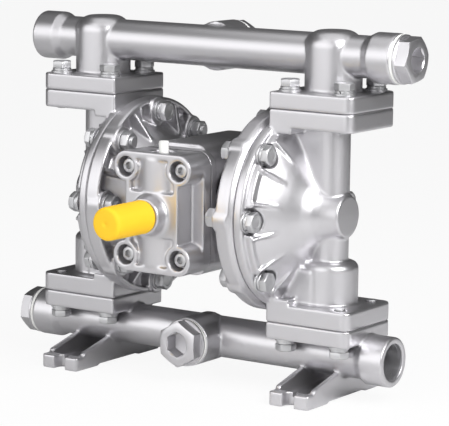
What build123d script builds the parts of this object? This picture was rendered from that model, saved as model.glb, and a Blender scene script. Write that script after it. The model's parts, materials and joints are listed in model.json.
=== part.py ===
from build123d import *
import math
import os

# Air operated double diaphragm pump with 3/4 inch ports, in millimetres.
# X runs along the pipes and the diaphragm rod, Y to the rear, Z up.
# The origin is on the floor, midway between the four foot slots.

# Layout of the casting axes
suction_axis_z = 30.5  # suction pipe above the floor
axis_rise = 100.0  # diaphragm rod above the suction pipe
discharge_rise = 114.0  # discharge pipe above the rod
column_offset = 101.35  # valve columns either side of the middle
joint_reach = 76.2  # flange joints above and below the rod

# Pipes of both manifolds
pipe_radius = 15.0
pipe_bore = 11.5
branch_step = 1.0
port_reach = 155.5  # port faces either side of the middle
port_radius = 13.2
port_depth = 20.0
boss_radius = 18.0
boss_length = 18.0
boss_cone = 6.0
rear_boss_reach = 25.0
front_boss_reach = 31.5
parting_width = 2.4
parting_height = 0.7

# Flanges where the manifolds meet the liquid chambers
flange_length = 67.6
flange_depth = 62.8
flange_corner = 7.0
flange_inner_corner = 1.5
flange_edge = 1.0
manifold_flange = 12.2
chamber_flange = 13.2
lip_extra = 4.0
lip_length = 18.5
bolt_pitch_x = 44.5
bolt_pitch_y = 43.5

# Valve columns
neck_radius = 20.5
neck_crown = 12.0
cage_bore = 15.6
cage_rib = 3.0
cage_rib_reach = 5.0
cup_height = 43.5
cup_shoulder = 5.0
ball_radius = 12.0
ball_lift = 6.0
seat_radius = 17.5
seat_height = 8.0
seat_bore = 8.0
seat_bevel = 4.0
seat_passage = 11.0
o_ring_radius = 15.0
o_ring_section = 1.2

# Liquid chambers
chamber_joint = 64.5  # air and liquid chambers meet here
ring_margin = 6.5  # from the bolt circle to the ring's edge
ring_thickness = 6.7
ring_step = 4.0
ring_step_height = 5.1
dome_margin = 8.0  # dome larger than the air bowl
dome_center = 44.0
dome_wall = 4.0
nose_reach = 116.0
nose_radius = 14.2
nose_flare = 18.5
riser_radius = 13.1
riser_bore = 9.5
bolt_margin = 4.9  # from the diaphragm's edge to the bolt circle
chamber_bolts = 8
spot_radius = 9.6
rib_thickness = 1.8
rib_foot_step = 0.5  # foot outside the bolt circle
rib_end_step = 16.0  # end inside the dome's radius
rib_rise = 2.0

# Diaphragms and rod
clamp_width = 8.6  # rim clamped outside the air bowl
diaphragm_rim = 3.0
diaphragm_fold = 7.0
fold_room = 14.0  # between the discs and the air bowl's wall
fold_gap = 1.5
fold_wall = 2.5
inner_disc = 7.0
outer_disc = 9.5
rod_radius = 8.0

# Air chambers
air_rim_step = 3.0  # rim proud of the liquid chamber's ring
air_rim_back = 51.2
air_rim_chamfer = 3.0
air_floor = 58.0
air_rim_wall = 3.5
air_bowl_radius = 50.0
air_bowl_depth = 18.5
air_hub_radius = 38.0
air_back = 40.0
lug_radius = 10.7
lug_back = 2.2
lug_front = 4.0
web_thickness = 3.5
air_screw_circle = 29.0
hub_screw_length = 22.0
chamber_grip = 14.0  # thread of the reversed screws in the liquid chamber
tap_reserve = 2.0

# Centre body
body_half_width = 26.0
body_half_height = 47.5
body_corner = 13.0
body_rear = 42.0
body_front = 43.0
plate_thickness = 7.0
gasket = 0.8
bush_length = 12.0
bush_wall = 2.5
seal_length = 4.0
pilot_offset = 23.0
pilot_radius = 3.0
pilot_stick_out = 3.2
pilot_travel = 2.0
pilot_flange = 5.0
pilot_spring_length = 12.0
pilot_flange_length = 2.0
wire = 0.9

# Air valve on the front
valve_half_width = 33.3
valve_half_height = 43.2
valve_rise = 0.5  # valve body centre above the rod
valve_depth = 27.0
valve_corner = 11.0
valve_lobe = 10.6  # round boss about each screw
valve_web = 22.6
valve_base = 9.2  # full-width plate at the rear
valve_dish = 4.5
pocket_half_width = 18.5
pocket_reach = 38.3
pocket_corner = 1.5
band_half_height = 16.0  # full-height band round the inlet
valve_screw_x = 22.7
valve_screw_z = 31.8
valve_screw_recess = 7.2
valve_screw_sunk = 3.8
bulge_half_width = 14.2
bulge_rise = 5.0
spool_axis_depth = 15.0  # spool bore behind the valve's front face
spool_bore = 9.5
sleeve_wall = 2.9
spool_travel = 10.0
spool_land = 7.0
spool_neck = 4.2
plug_depth = 8.0
ring_inset = 3.0
ring_thickness_z = 1.0
button_recess = 3.0
button_collar = 1.5
button_radius = 3.5
button_height = 7.0
button_travel = 3.0
inlet_drop = 1.1  # inlet below the valve's middle
inlet_boss_radius = 14.2
inlet_boss_rise = 10.5
inlet_boss_taper = 0.9
inlet_boss_flare = 2.4
nipple_radius = 8.2
nipple_bore = 4.5
nipple_collar = 10.8
nipple_collar_length = 8.0
nipple_reach = 24.0
nipple_chamfer = 0.6
cap_radius = 12.1
cap_end_wall = 1.7
cap_length = 42.2
cap_edge = 2.0
cap_gap = 1.0

# Muffler
muffler_radius = 15.0
muffler_length = 46.0
muffler_hex = 24.0
muffler_hex_length = 9.0
muffler_slots = 6

# Feet of the lower manifold
foot_half_length = 53.3
foot_width = 33.0
foot_toe = 10.0
foot_toe_length = 9.5
foot_wall = 4.2
foot_floor = 5.0
foot_wall_run = 11.2
foot_relief = 1.2
foot_relief_half = 26.0
foot_corner = 3.0
slot_width = 9.6
slot_depth = 9.5

# Fasteners
bolt_radius = 4.0
bolt_hex = 13.0
bolt_head = 5.3
nut_height = 6.5
stud_show = 2.0
bolt_show = 1.2
flat_washer = 1.6
spring_washer = 2.0
washer_radius = 7.9
spring_radius = 6.9
screw_shank = 3.0
screw_head_radius = 5.0
screw_head_height = 6.0
plug_hex = 29.5
plug_hex_length = 11.5
plug_socket = 16.5
plug_socket_depth = 8.0
plug_thread = 14.0
plug_washer = 2.0
plug_washer_radius = 17.4

# Named clearances
thread_fit = 0.05
bolt_gap = 0.5
end_gap = 0.5
running_fit = 0.05
slip_fit = 0.1
ball_gap = 0.3
seat_fit = 0.05
cap_fit = 0.1

# Derived radii around the rod
disc_radius = air_bowl_radius - fold_room
diaphragm_radius = air_bowl_radius + clamp_width
bolt_circle = diaphragm_radius + bolt_margin
ring_radius = bolt_circle + ring_margin
air_rim_radius = ring_radius + air_rim_step
dome_radius = air_bowl_radius + dome_margin
rib_foot_radius = bolt_circle + rib_foot_step
rib_end_radius = dome_radius - rib_end_step

# Derived places
axis_z = suction_axis_z + axis_rise
discharge_axis_z = axis_z + discharge_rise
upper_joint = axis_z + joint_reach
lower_joint = axis_z - joint_reach
flange_inner = column_offset - flange_length / 2
valve_z = axis_z + valve_rise
plate_front = -(body_front + plate_thickness)
valve_rear = plate_front - gasket
valve_front = valve_rear - valve_depth
dish_front = valve_front + valve_dish
inlet_face = valve_front - inlet_boss_rise
spool_axis_y = valve_front + spool_axis_depth
hub_face = body_half_width + gasket
bowl_floor = chamber_joint - air_bowl_depth
pilot_floor = hub_face - pilot_flange_length - pilot_spring_length
cover_reach = valve_half_height - plug_depth - ring_inset
button_low = cover_reach + button_recess - button_collar - button_travel
spool_length = cover_reach + button_low - end_gap - spool_travel
ring_face = chamber_joint + ring_thickness
step_face = ring_face + ring_step_height
lug_end = air_rim_back - lug_back
inlet_z = valve_z - inlet_drop
sides = (-1, 1)


def along_x(radius, x0, x1, y=0.0, z=0.0):
    """Cylinder along X from x0 to x1."""
    bar = Cylinder(radius, x1 - x0, align=(Align.CENTER, Align.CENTER, Align.MIN))
    return Pos(x0, y, z) * Rot(0, 90, 0) * bar


def along_y(radius, y0, y1, x=0.0, z=0.0):
    """Cylinder along Y from y0 to y1."""
    bar = Cylinder(radius, y1 - y0, align=(Align.CENTER, Align.CENTER, Align.MIN))
    return Pos(x, y0, z) * Rot(-90, 0, 0) * bar


def along_z(radius, z0, z1, x=0.0, y=0.0):
    """Cylinder along Z from z0 to z1."""
    bar = Cylinder(radius, z1 - z0, align=(Align.CENTER, Align.CENTER, Align.MIN))
    return Pos(x, y, z0) * bar


def block(x0, x1, y0, y1, z0, z1):
    """Box between two corners."""
    body = Box(x1 - x0, y1 - y0, z1 - z0, align=(Align.MIN, Align.MIN, Align.MIN))
    return Pos(x0, y0, z0) * body


def turned_x(points, z=0.0):
    """Solid of revolution about an X axis, from (x, radius) points."""
    outline = Polyline(*points, close=True)
    return Pos(0, 0, z) * revolve(make_face(outline), axis=Axis.X)


def turned_z(points, x=0.0, y=0.0, z=0.0):
    """Solid of revolution about a Z axis, from (radius, height) points."""
    outline = Polyline(*points, close=True)
    spun = revolve(make_face(outline), axis=Axis.Y)
    return Pos(x, y, z) * Rot(90, 0, 0) * spun


def ring_z(outer, inner, height, z=0.0):
    """Plain ring on a Z axis."""
    return along_z(outer, z, z + height) - along_z(inner, z - 1, z + height + 1)


def hex_prism(across_flats, height, turn=0.0):
    """Hexagonal prism standing on its origin, with its corners taken off."""
    corner = across_flats / math.sqrt(3)
    bevel = (corner - across_flats / 2) * 0.6
    prism = extrude(Rot(0, 0, turn) * RegularPolygon(corner, 6), height)
    side = [(0, 0), (corner, 0), (corner, height - bevel)]
    cone = turned_z(side + [(corner - bevel * 1.7, height), (0, height)])
    return prism & cone


def mirrored(shape):
    """The same shape on the other side of the pump's middle."""
    return mirror(shape, about=Plane.YZ)


def at_bolts(side):
    """Centres of the four bolts of one valve column."""
    column = side * column_offset
    for dx in sides:
        for dy in sides:
            yield column + dx * bolt_pitch_x / 2, dy * bolt_pitch_y / 2


def bolt_angles(through):
    """Angles round the rod: through bolts, or the two reversed screws."""
    for index in range(chamber_bolts):
        angle = 360 / chamber_bolts * index
        reversed_screw = index % (chamber_bolts // 2) == chamber_bolts // 4
        if reversed_screw != through:
            yield angle


def round_axis(shape, angle, radius):
    """Places a shape made on the X axis out on a circle round the rod."""
    turn = math.radians(angle)
    y = radius * math.cos(turn)
    z = radius * math.sin(turn)
    return Pos(0, y, axis_z + z) * shape


def flange_plate(z0, z1):
    """Flange of the right-hand column, larger corners on its outer side."""
    plate = Rectangle(flange_length, flange_depth)
    outer = plate.vertices().sort_by(Axis.X)[-2:]
    plate = fillet(outer, flange_corner)
    inner = plate.vertices().sort_by(Axis.X)[:2]
    plate = fillet(inner, flange_inner_corner)
    slab = extrude(plate, z1 - z0)
    slab = chamfer(slab.edges().group_by(Axis.Z)[0], flange_edge / 2)
    slab = chamfer(slab.edges().group_by(Axis.Z)[-1], flange_edge / 2)
    return Pos(column_offset, 0, z0) * slab


def ball_center(seat_top):
    """Height of a ball resting just clear of its seat's 45 degree bevel."""
    apex = seat_top - seat_bevel - seat_bore
    return apex + (ball_radius + ball_gap) * math.sqrt(2)


def cage(seat_top, z_end):
    """Cage bore above a seat: round, less the ribs that guide and stop the ball."""
    bore = along_z(cage_bore, seat_top - 1, z_end)
    rise = math.sqrt(ball_radius**2 - cage_rib_reach**2)
    stop = ball_center(seat_top) + ball_lift + rise + ball_gap
    guide = ball_radius + ball_gap
    for angle in (45, 135, 225, 315):
        rib = block(guide, cage_bore + 1, -cage_rib / 2, cage_rib / 2, seat_top + 2, z_end)
        hook = block(cage_rib_reach, cage_bore + 1, -cage_rib / 2, cage_rib / 2, stop, z_end)
        bore -= Rot(0, 0, angle) * (rib + hook)
    return bore


def manifold_pipe():
    """Pipe with coned bosses at its ends, on the X axis."""
    boss = port_reach - boss_length
    cone = boss - boss_cone
    half = [(cone, pipe_radius), (boss, boss_radius)]
    half += [(port_reach - 0.8, boss_radius), (port_reach, boss_radius - 0.8)]
    other = [(-x, r) for x, r in reversed(half)]
    return turned_x(other + half + [(port_reach, 0), (-port_reach, 0)])


def manifold_bores(middle_face, middle_sign):
    """Waterway, the threaded ends and the middle port, on the X axis."""
    tool = along_x(pipe_bore, -port_reach - 1, port_reach + 1)
    for side in sides:
        end = Pos(side * (port_reach - port_depth / 2), 0, 0) * Rot(0, 90, 0)
        tool += end * Cylinder(port_radius, port_depth + 0.02)
    near = middle_sign * (middle_face - port_depth)
    far = middle_sign * (middle_face + 1)
    tool += along_y(port_radius, min(near, far), max(near, far))
    branch = pipe_bore - branch_step
    tool += along_y(branch, min(0, near), max(0, near))
    return tool


def upper_manifold():
    body = Pos(0, 0, discharge_axis_z) * manifold_pipe()
    body += along_y(boss_radius, 0, rear_boss_reach, z=discharge_axis_z)
    crown = discharge_axis_z + boss_radius - 0.5
    neck = along_z(neck_radius, upper_joint, crown)
    neck = fillet(neck.edges().group_by(Axis.Z)[-1], neck_crown)
    column = flange_plate(upper_joint, upper_joint + manifold_flange)
    column += Pos(column_offset, 0, 0) * neck
    body += column + mirrored(column)
    body -= Pos(0, 0, discharge_axis_z) * manifold_bores(rear_boss_reach, 1)
    for side in sides:
        body -= Pos(side * column_offset, 0, 0) * cage(upper_joint, discharge_axis_z)
        for x, y in at_bolts(side):
            hole = bolt_radius + bolt_gap
            body -= along_z(hole, upper_joint - 1, upper_joint + manifold_flange + 1, x, y)
    return body


def foot():
    """One foot under the right-hand column, open at both toes for the bolts."""
    half = foot_half_length
    width = foot_width / 2
    top = suction_axis_z - math.sqrt(pipe_radius**2 - foot_wall_run**2)
    side_view = Polyline(
        (-half, 0), (-foot_relief_half, 0), (-foot_relief_half + 2, foot_relief),
        (foot_relief_half - 2, foot_relief), (foot_relief_half, 0), (half, 0),
        (half, foot_toe), (foot_wall_run, top), (0, suction_axis_z),
        (-foot_wall_run, top), (-half, foot_toe), close=True,
    )
    solid = extrude(Plane.YZ * make_face(side_view), width, both=True)
    solid = fillet(solid.edges().filter_by(Axis.Z).group_by(Axis.Z)[0], foot_corner)
    inner = width - foot_wall
    hollow = foot_half_length - foot_toe_length
    channel = block(-inner, inner, -hollow, hollow, foot_floor, suction_axis_z)
    channel = fillet(channel.edges().group_by(Axis.Z)[0].filter_by(Axis.Y), 2.5)
    solid -= channel
    for side in sides:
        end = side * (half - slot_depth + slot_width / 2)
        slot = along_z(slot_width / 2, -1, foot_toe + 1, 0, end)
        mouth = sorted((end, side * (half + 1)))
        slot += block(-slot_width / 2, slot_width / 2, *mouth, -1, foot_toe + 1)
        solid -= slot
        flat = sorted((side * (half + 1), side * hollow))
        solid -= block(-width - 1, width + 1, *flat, foot_toe, suction_axis_z)
    return Pos(column_offset, 0, 0) * solid


def lower_manifold():
    body = Pos(0, 0, suction_axis_z) * manifold_pipe()
    body += along_y(boss_radius, -front_boss_reach, 0, z=suction_axis_z)
    ridge = suction_axis_z + pipe_radius + parting_height
    reach = flange_inner + 1
    body += block(-reach, reach, -parting_width / 2, parting_width / 2, suction_axis_z, ridge)
    column = flange_plate(lower_joint - manifold_flange, lower_joint)
    column += foot()
    body += column + mirrored(column)
    body -= Pos(0, 0, suction_axis_z) * manifold_bores(front_boss_reach, -1)
    for side in sides:
        place = Pos(side * column_offset, 0, 0)
        body -= place * along_z(seat_passage, suction_axis_z, lower_joint)
        recess = along_z(seat_radius + seat_fit, lower_joint - seat_height, lower_joint + 1)
        body -= place * recess
        for x, y in at_bolts(side):
            hole = bolt_radius + bolt_gap
            body -= along_z(hole, lower_joint - manifold_flange - 1, lower_joint + 1, x, y)
    return body


def dome_outline(radius, start, nose_x, nose_r, flare):
    """Half profile of the dome and its nose: a spherical cap that flares into the nose."""
    reach = flare + (flare - nose_r) * 0.25
    meet = dome_center + math.sqrt(radius**2 - reach**2)
    foot_r = math.sqrt(radius**2 - (start - dome_center) ** 2)
    angle = (math.atan2(foot_r, start - dome_center) + math.atan2(reach, meet - dome_center)) / 2
    middle = (dome_center + radius * math.cos(angle), radius * math.sin(angle))
    cap = ThreePointArc((start, foot_r), middle, (meet, reach))
    # the flare is an arc tangent to the nose's slight taper
    bend = (meet + (nose_x - meet) * 0.42, nose_r + (reach - nose_r) * 0.28)
    flare_arc = ThreePointArc((meet, reach), (meet + (bend[0] - meet) * 0.42,
                              bend[1] + (reach - bend[1]) * 0.42), bend)
    nose = Polyline(bend, (nose_x, nose_r), (nose_x, 0), (start, 0), (start, foot_r))
    return make_face(cap + flare_arc + nose)


def chamber_shell():
    """Outside of the right-hand liquid chamber."""
    ring = turned_x(
        [
            (chamber_joint, 0), (chamber_joint, ring_radius - 0.4),
            (chamber_joint + 0.4, ring_radius), (ring_face - 1.2, ring_radius),
            (ring_face, ring_radius - 1.2), (ring_face, ring_radius - ring_step),
            (step_face - 1.2, ring_radius - ring_step),
            (step_face, ring_radius - ring_step - 1.2), (step_face, 0),
        ],
        axis_z,
    )
    profile = dome_outline(dome_radius, ring_face, nose_reach, nose_radius, nose_flare)
    body = ring + Pos(0, 0, axis_z) * revolve(profile, axis=Axis.X)
    top = upper_joint - chamber_flange
    bottom = lower_joint + chamber_flange
    riser = along_z(riser_radius, bottom, top, column_offset)
    riser += block(ring_face, column_offset, -riser_radius, riser_radius, axis_z, top)
    body += riser
    cup = along_z(neck_radius, lower_joint, lower_joint + cup_height)
    cup = fillet(cup.edges().group_by(Axis.Z)[-1], cup_shoulder)
    body += Pos(column_offset, 0, 0) * cup
    body += flange_plate(top, upper_joint)
    body += flange_plate(lower_joint, bottom)
    half = flange_depth / 2
    lip_end = flange_inner + lip_length
    body += block(flange_inner, lip_end, -half, half, top - lip_extra, top)
    body += block(flange_inner, lip_end, -half, half, bottom, bottom + lip_extra)
    return body


def chamber_ribs():
    """Low fins that run from the bolt ring up the dome, two beside each bolt."""
    crest = Vector(step_face + rib_rise, rib_foot_radius - rib_rise)
    surface = dome_center + math.sqrt(dome_radius**2 - rib_end_radius**2)
    buried = crest + (Vector(surface, rib_end_radius) - crest) * 1.2
    web = make_face(Polyline(
        (step_face - 1, rib_foot_radius), crest, buried, (step_face - 1, buried.Y), close=True,
    ))
    fin = extrude(web, rib_thickness / 2, both=True)
    spacing = 360 / chamber_bolts / 2
    ribs = Part()
    for index in range(2 * chamber_bolts):
        ribs += Pos(0, 0, axis_z) * Rot(90 + spacing * (index + 0.5), 0, 0) * fin
    return ribs


def liquid_chamber():
    """Right-hand liquid chamber, with the flanges for both manifolds."""
    body = chamber_shell() + chamber_ribs()
    inner = dome_radius - dome_wall
    seat_floor = chamber_joint + diaphragm_rim
    cavity = dome_outline(inner, seat_floor, nose_reach - 12, nose_radius - 6, nose_flare - 6)
    body -= Pos(0, 0, axis_z) * revolve(cavity, axis=Axis.X)
    body -= along_x(diaphragm_radius + slip_fit, chamber_joint - 1, seat_floor, z=axis_z)
    place = Pos(column_offset, 0, 0)
    riser_top = upper_joint - seat_height
    cup_top = lower_joint + cup_height - 8
    body -= place * along_z(riser_bore, cup_top - 6, riser_top + 1)
    body -= place * cage(lower_joint, cup_top)
    body -= place * along_z(seat_radius + seat_fit, riser_top, upper_joint + 1)
    for x, y in at_bolts(1):
        tapped = bolt_radius + thread_fit
        body -= along_z(tapped, upper_joint - chamber_flange - lip_extra - 1, upper_joint + 1, x, y)
        body -= along_z(tapped, lower_joint - 1, lower_joint + chamber_flange + lip_extra + 1, x, y)
    for angle in bolt_angles(True):
        hole = along_x(bolt_radius + bolt_gap, chamber_joint - 1, step_face + 1)
        spot = along_x(spot_radius, ring_face, step_face + 9)
        body -= round_axis(hole + spot, angle, bolt_circle)
    for angle in bolt_angles(False):
        tap_end = chamber_joint + chamber_grip + tap_reserve
        tapped = along_x(bolt_radius + thread_fit, chamber_joint - 1, tap_end)
        body -= round_axis(tapped, angle, bolt_circle)
    return body


def air_chamber():
    """Right-hand air chamber: a bowl with a lipped rim, bolt lugs and webs."""
    hub_turn = hub_face + 7
    body = turned_x(
        [
            (hub_face, 0), (hub_face, air_hub_radius), (hub_turn, air_hub_radius),
            (air_back, air_bowl_radius - 5), (air_floor, air_bowl_radius + 7),
            (air_floor, air_rim_radius - air_rim_wall),
            (air_rim_back, air_rim_radius - air_rim_wall),
            (air_rim_back, air_rim_radius - 0.8), (air_rim_back + 0.8, air_rim_radius),
            (chamber_joint - air_rim_chamfer, air_rim_radius), (chamber_joint, ring_radius),
            (chamber_joint, 0),
        ],
        axis_z,
    )
    for angle in range(chamber_bolts):
        lug = along_x(lug_radius, lug_end, chamber_joint - lug_front)
        body += round_axis(lug, 360 / chamber_bolts * angle, bolt_circle)
    web = make_face(Polyline(
        (air_back, air_bowl_radius - 8), (air_rim_back + 1, air_rim_radius - 3),
        (air_floor + 1, air_rim_radius - 3), (air_floor + 1, air_bowl_radius), close=True,
    ))
    fin = extrude(web, web_thickness / 2, both=True)
    for index in range(chamber_bolts):
        turn = 360 / chamber_bolts * (index + 0.5)
        body += Pos(0, 0, axis_z) * Rot(turn + 90, 0, 0) * fin
    bowl = turned_x(
        [
            (chamber_joint + 1, 0), (chamber_joint + 1, air_bowl_radius),
            (chamber_joint - 2, air_bowl_radius), (bowl_floor + 3, air_bowl_radius - 9),
            (bowl_floor, air_bowl_radius - 12), (bowl_floor, 0),
        ],
        axis_z,
    )
    body -= bowl
    body -= along_x(rod_radius + 1, hub_face - 1, chamber_joint, z=axis_z)
    pilot_hole = along_x(pilot_radius + running_fit, hub_face - 1, chamber_joint)
    body -= Pos(0, 0, axis_z + pilot_offset) * pilot_hole
    for angle in range(chamber_bolts):
        hole = along_x(bolt_radius + bolt_gap, lug_end - 1, chamber_joint + 1)
        body -= round_axis(hole, 360 / chamber_bolts * angle, bolt_circle)
    for angle in (45, 135, 225, 315):
        sink = along_x(screw_head_radius + 0.4, bowl_floor - screw_head_height - 0.5, bowl_floor + 1)
        sink += along_x(screw_shank + 0.4, hub_face - 1, bowl_floor)
        body -= round_axis(sink, angle, air_screw_circle)
    return body


def center_body():
    outline = RectangleRounded(2 * body_half_width, 2 * body_half_height, body_corner)
    core = extrude(Plane.XZ * outline, body_rear + body_front)
    core = Pos(0, body_rear, axis_z) * core
    plate = RectangleRounded(2 * valve_half_width - 2, 2 * valve_half_height, valve_corner)
    slab = extrude(Plane.XZ * plate, plate_thickness)
    core += Pos(0, -body_front, valve_z) * slab
    core -= along_x(rod_radius + bush_wall, -body_half_width - 1, body_half_width + 1, z=axis_z)
    for side in sides:
        mouth = side * body_half_width
        ends = sorted((mouth + side, side * pilot_floor))
        core -= along_x(pilot_flange + slip_fit, *ends, z=axis_z + pilot_offset)
        for angle in (45, 135, 225, 315):
            tapped = along_x(screw_shank + thread_fit, *sorted((mouth + side, side * 8)))
            core -= round_axis(tapped, angle, air_screw_circle)
    core -= along_y(nipple_radius + thread_fit, body_rear - 16, body_rear + 1, z=axis_z)
    for x, z in valve_screw_centers():
        tapped_end = plate_front + plate_thickness - 1
        core -= along_y(screw_shank + thread_fit, plate_front - 1, tapped_end, x, z)
    return core


def valve_screw_centers():
    """Centres of the four screws of the air valve."""
    for dx in sides:
        for dz in sides:
            yield dx * valve_screw_x, valve_z + dz * valve_screw_z


def valve_lobes(front, rear):
    """Round bosses about the four screws of the air valve."""
    lobes = Part()
    for x, z in valve_screw_centers():
        lobes += along_y(valve_lobe, front, rear, x, z)
    return lobes


def valve_pockets():
    """Sunk pockets above and below the inlet, between the screw bosses."""
    low = valve_z - pocket_reach
    high = valve_z + pocket_reach
    pockets = Part()
    spans = ((low, inlet_z - band_half_height), (inlet_z + band_half_height, high))
    for bottom, top in spans:
        outline = RectangleRounded(2 * pocket_half_width, top - bottom, pocket_corner)
        pocket = extrude(Plane.XZ * outline, valve_dish + 1)
        pockets += Pos(0, dish_front, (bottom + top) / 2) * pocket
    return pockets - valve_lobes(valve_front - 2, dish_front + 1)


def spool_bulge():
    """Rounded bulge over the spool bore, from end to end of the pockets."""
    curve = (bulge_half_width**2 + bulge_rise**2) / (2 * bulge_rise)
    low = valve_z - pocket_reach
    high = valve_z + pocket_reach
    crest = dish_front - bulge_rise
    drum = along_z(curve, low, high, 0, crest + curve)
    return drum & block(-bulge_half_width, bulge_half_width, crest - 1, dish_front + 2, low, high)


def inlet_boss():
    """Tapered boss of the air inlet, flaring into the valve's front."""
    reach = inlet_boss_rise
    tip = inlet_boss_radius - inlet_boss_taper
    flare = inlet_boss_flare
    outline = [
        (0, -valve_dish), (inlet_boss_radius + flare, -valve_dish),
        (inlet_boss_radius + flare, 0), (inlet_boss_radius + flare / 3, flare / 3),
        (inlet_boss_radius, flare), (tip, reach - nipple_chamfer),
        (tip - nipple_chamfer, reach), (0, reach),
    ]
    return Pos(0, valve_front, inlet_z) * Rot(90, 0, 0) * turned_z(outline)


def valve_body():
    """Air valve body: screw bosses, pocketed front, spool bulge and inlet boss."""
    outline = RectangleRounded(2 * valve_half_width, 2 * valve_half_height, valve_corner)
    body = Pos(0, valve_rear, valve_z) * extrude(Plane.XZ * outline, valve_depth)
    for side in sides:
        ends = sorted((side * valve_web, side * (valve_half_width + 1)))
        low = valve_z - valve_screw_z
        high = valve_z + valve_screw_z
        waist = block(*ends, valve_front - 1, valve_rear - valve_base, low, high)
        body -= waist - valve_lobes(valve_front - 2, valve_rear)
    body -= valve_pockets()
    body += spool_bulge() + inlet_boss()
    bottom = valve_z - valve_half_height - 1
    top = valve_z + valve_half_height + 1
    body -= along_z(spool_bore, bottom, top, 0, spool_axis_y)
    body -= along_y(nipple_radius + thread_fit, inlet_face - 1, spool_axis_y, z=inlet_z)
    for x, z in valve_screw_centers():
        seat = valve_front + valve_screw_sunk + screw_head_height
        body -= along_y(valve_screw_recess, valve_front - 1, seat, x, z)
        body -= along_y(screw_shank + bolt_gap, valve_front, valve_rear + 1, x, z)
    return body


def valve_gasket():
    outline = RectangleRounded(2 * valve_half_width - 2, 2 * valve_half_height, valve_corner)
    sheet = Pos(0, plate_front, valve_z) * extrude(Plane.XZ * outline, gasket)
    for x, z in valve_screw_centers():
        sheet -= along_y(screw_shank + bolt_gap, valve_rear - 1, plate_front + 1, x, z)
    return sheet


def valve_sleeve():
    """Ported sleeve pressed in the spool bore."""
    low = valve_z - cover_reach
    high = valve_z + cover_reach
    tube = along_z(spool_bore - seat_fit, low, high, 0, spool_axis_y)
    tube -= along_z(spool_bore - sleeve_wall, low - 1, high + 1, 0, spool_axis_y)
    for level in (-1, 0, 1):
        z = valve_z + level * cover_reach / 2
        groove = along_z(spool_bore + 1, z - 2, z + 2, 0, spool_axis_y)
        groove -= along_z(spool_bore - 1.2, z - 2, z + 2, 0, spool_axis_y)
        tube -= groove
        for turn in (45, 135):
            port = Rot(0, 0, turn) * Rot(90, 0, 0) * Cylinder(1.6, 3 * spool_bore)
            tube -= Pos(0, spool_axis_y, z) * port
    return tube


def valve_spool():
    """Three-land spool, resting at the bottom of its travel."""
    radius = spool_bore - sleeve_wall - running_fit
    low = valve_z - cover_reach
    body = along_z(spool_neck, low, low + spool_length, 0, spool_axis_y)
    gap = (spool_length - spool_land) / 2
    for index in range(3):
        z = low + index * gap
        body += along_z(radius, z, z + spool_land, 0, spool_axis_y)
    return body


def end_plug(up):
    """Plug of the spool bore; the upper one carries the reset button."""
    height = plug_depth
    radius = spool_bore - seat_fit
    points = [(0, 0), (radius, 0), (radius, height - 1), (radius - 1, height), (0, height)]
    plug = turned_z(points)
    if up:
        plug -= along_z(button_radius + running_fit, -1, height + 1)
        plug -= along_z(button_radius + 1.2, -1, button_recess)
        return Pos(0, spool_axis_y, valve_z + cover_reach) * plug
    plug -= along_z(2.5, height - 3, height + 1)
    return Pos(0, spool_axis_y, valve_z - cover_reach) * Rot(180, 0, 0) * plug


def retaining_ring():
    """Snap ring that holds an end plug in its bore."""
    ring = ring_z(spool_bore - seat_fit, spool_bore - 2.2, ring_thickness_z)
    ring -= block(-1.6, 1.6, 0, spool_bore + 1, -1, 2)
    return ring


def retaining_rings():
    edge = valve_half_height - ring_inset
    upper = Pos(0, spool_axis_y, valve_z + edge) * retaining_ring()
    lower = Pos(0, spool_axis_y, valve_z - edge - ring_thickness_z) * retaining_ring()
    return upper + lower


def reset_button():
    top = valve_z + valve_half_height + button_height
    stop = valve_z + cover_reach + button_recess
    button = along_z(button_radius, stop, top, 0, spool_axis_y)
    button = fillet(button.edges().group_by(Axis.Z)[-1], 0.5)
    return button + along_z(button_radius + 1.0, stop - button_collar, stop, 0, spool_axis_y)


def inlet_nipple():
    """Air inlet nipple, under its cap."""
    thread_end = spool_axis_y - spool_bore - 0.5
    collar = inlet_face - nipple_collar_length
    tip = collar - nipple_reach
    body = along_y(nipple_radius, tip, thread_end, z=inlet_z)
    body += along_y(nipple_collar, collar, inlet_face, z=inlet_z)
    body -= along_y(nipple_bore, tip - 1, thread_end + 1, z=inlet_z)
    return chamfer(body.edges().group_by(Axis.Y)[0], nipple_chamfer)


def inlet_cap():
    """Pull-off cap over the nipple, closed at its front end."""
    near = inlet_face - cap_gap
    far = near - cap_length
    body = along_y(cap_radius, far, near, z=inlet_z)
    body = fillet(body.edges().group_by(Axis.Y)[0], cap_edge)
    inside = nipple_collar + cap_fit
    body -= along_y(inside, far + cap_end_wall, near + 1, z=inlet_z)
    return body


def muffler():
    """Silencer screwed into the rear of the centre body."""
    start = body_rear
    body = along_y(nipple_radius, start - 14, start + 1, z=axis_z)
    hexagon = hex_prism(muffler_hex, muffler_hex_length)
    body += Pos(0, start, axis_z) * Rot(-90, 0, 0) * hexagon
    low = start + muffler_hex_length - 0.5
    high = low + muffler_length
    shell = along_y(muffler_radius, low, high, z=axis_z)
    shell = fillet(shell.edges().group_by(Axis.Y)[-1], 3.0)
    pitch = (muffler_length - 10) / muffler_slots
    for index in range(muffler_slots):
        y = low + 5 + pitch * index
        groove = along_y(muffler_radius + 1, y, y + pitch / 2, z=axis_z)
        groove -= along_y(muffler_radius - 2, y - 1, y + pitch / 2 + 1, z=axis_z)
        shell -= groove
    return body + shell


def rod():
    half = chamber_joint + outer_disc_base()
    body = along_x(rod_radius, -half, half, z=axis_z)
    return chamfer(body.edges().filter_by(GeomType.CIRCLE), 0.6)


def outer_disc_base():
    """Distance from the chamber joint to the outer end of the rod."""
    return diaphragm_rim + 3.0


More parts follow.
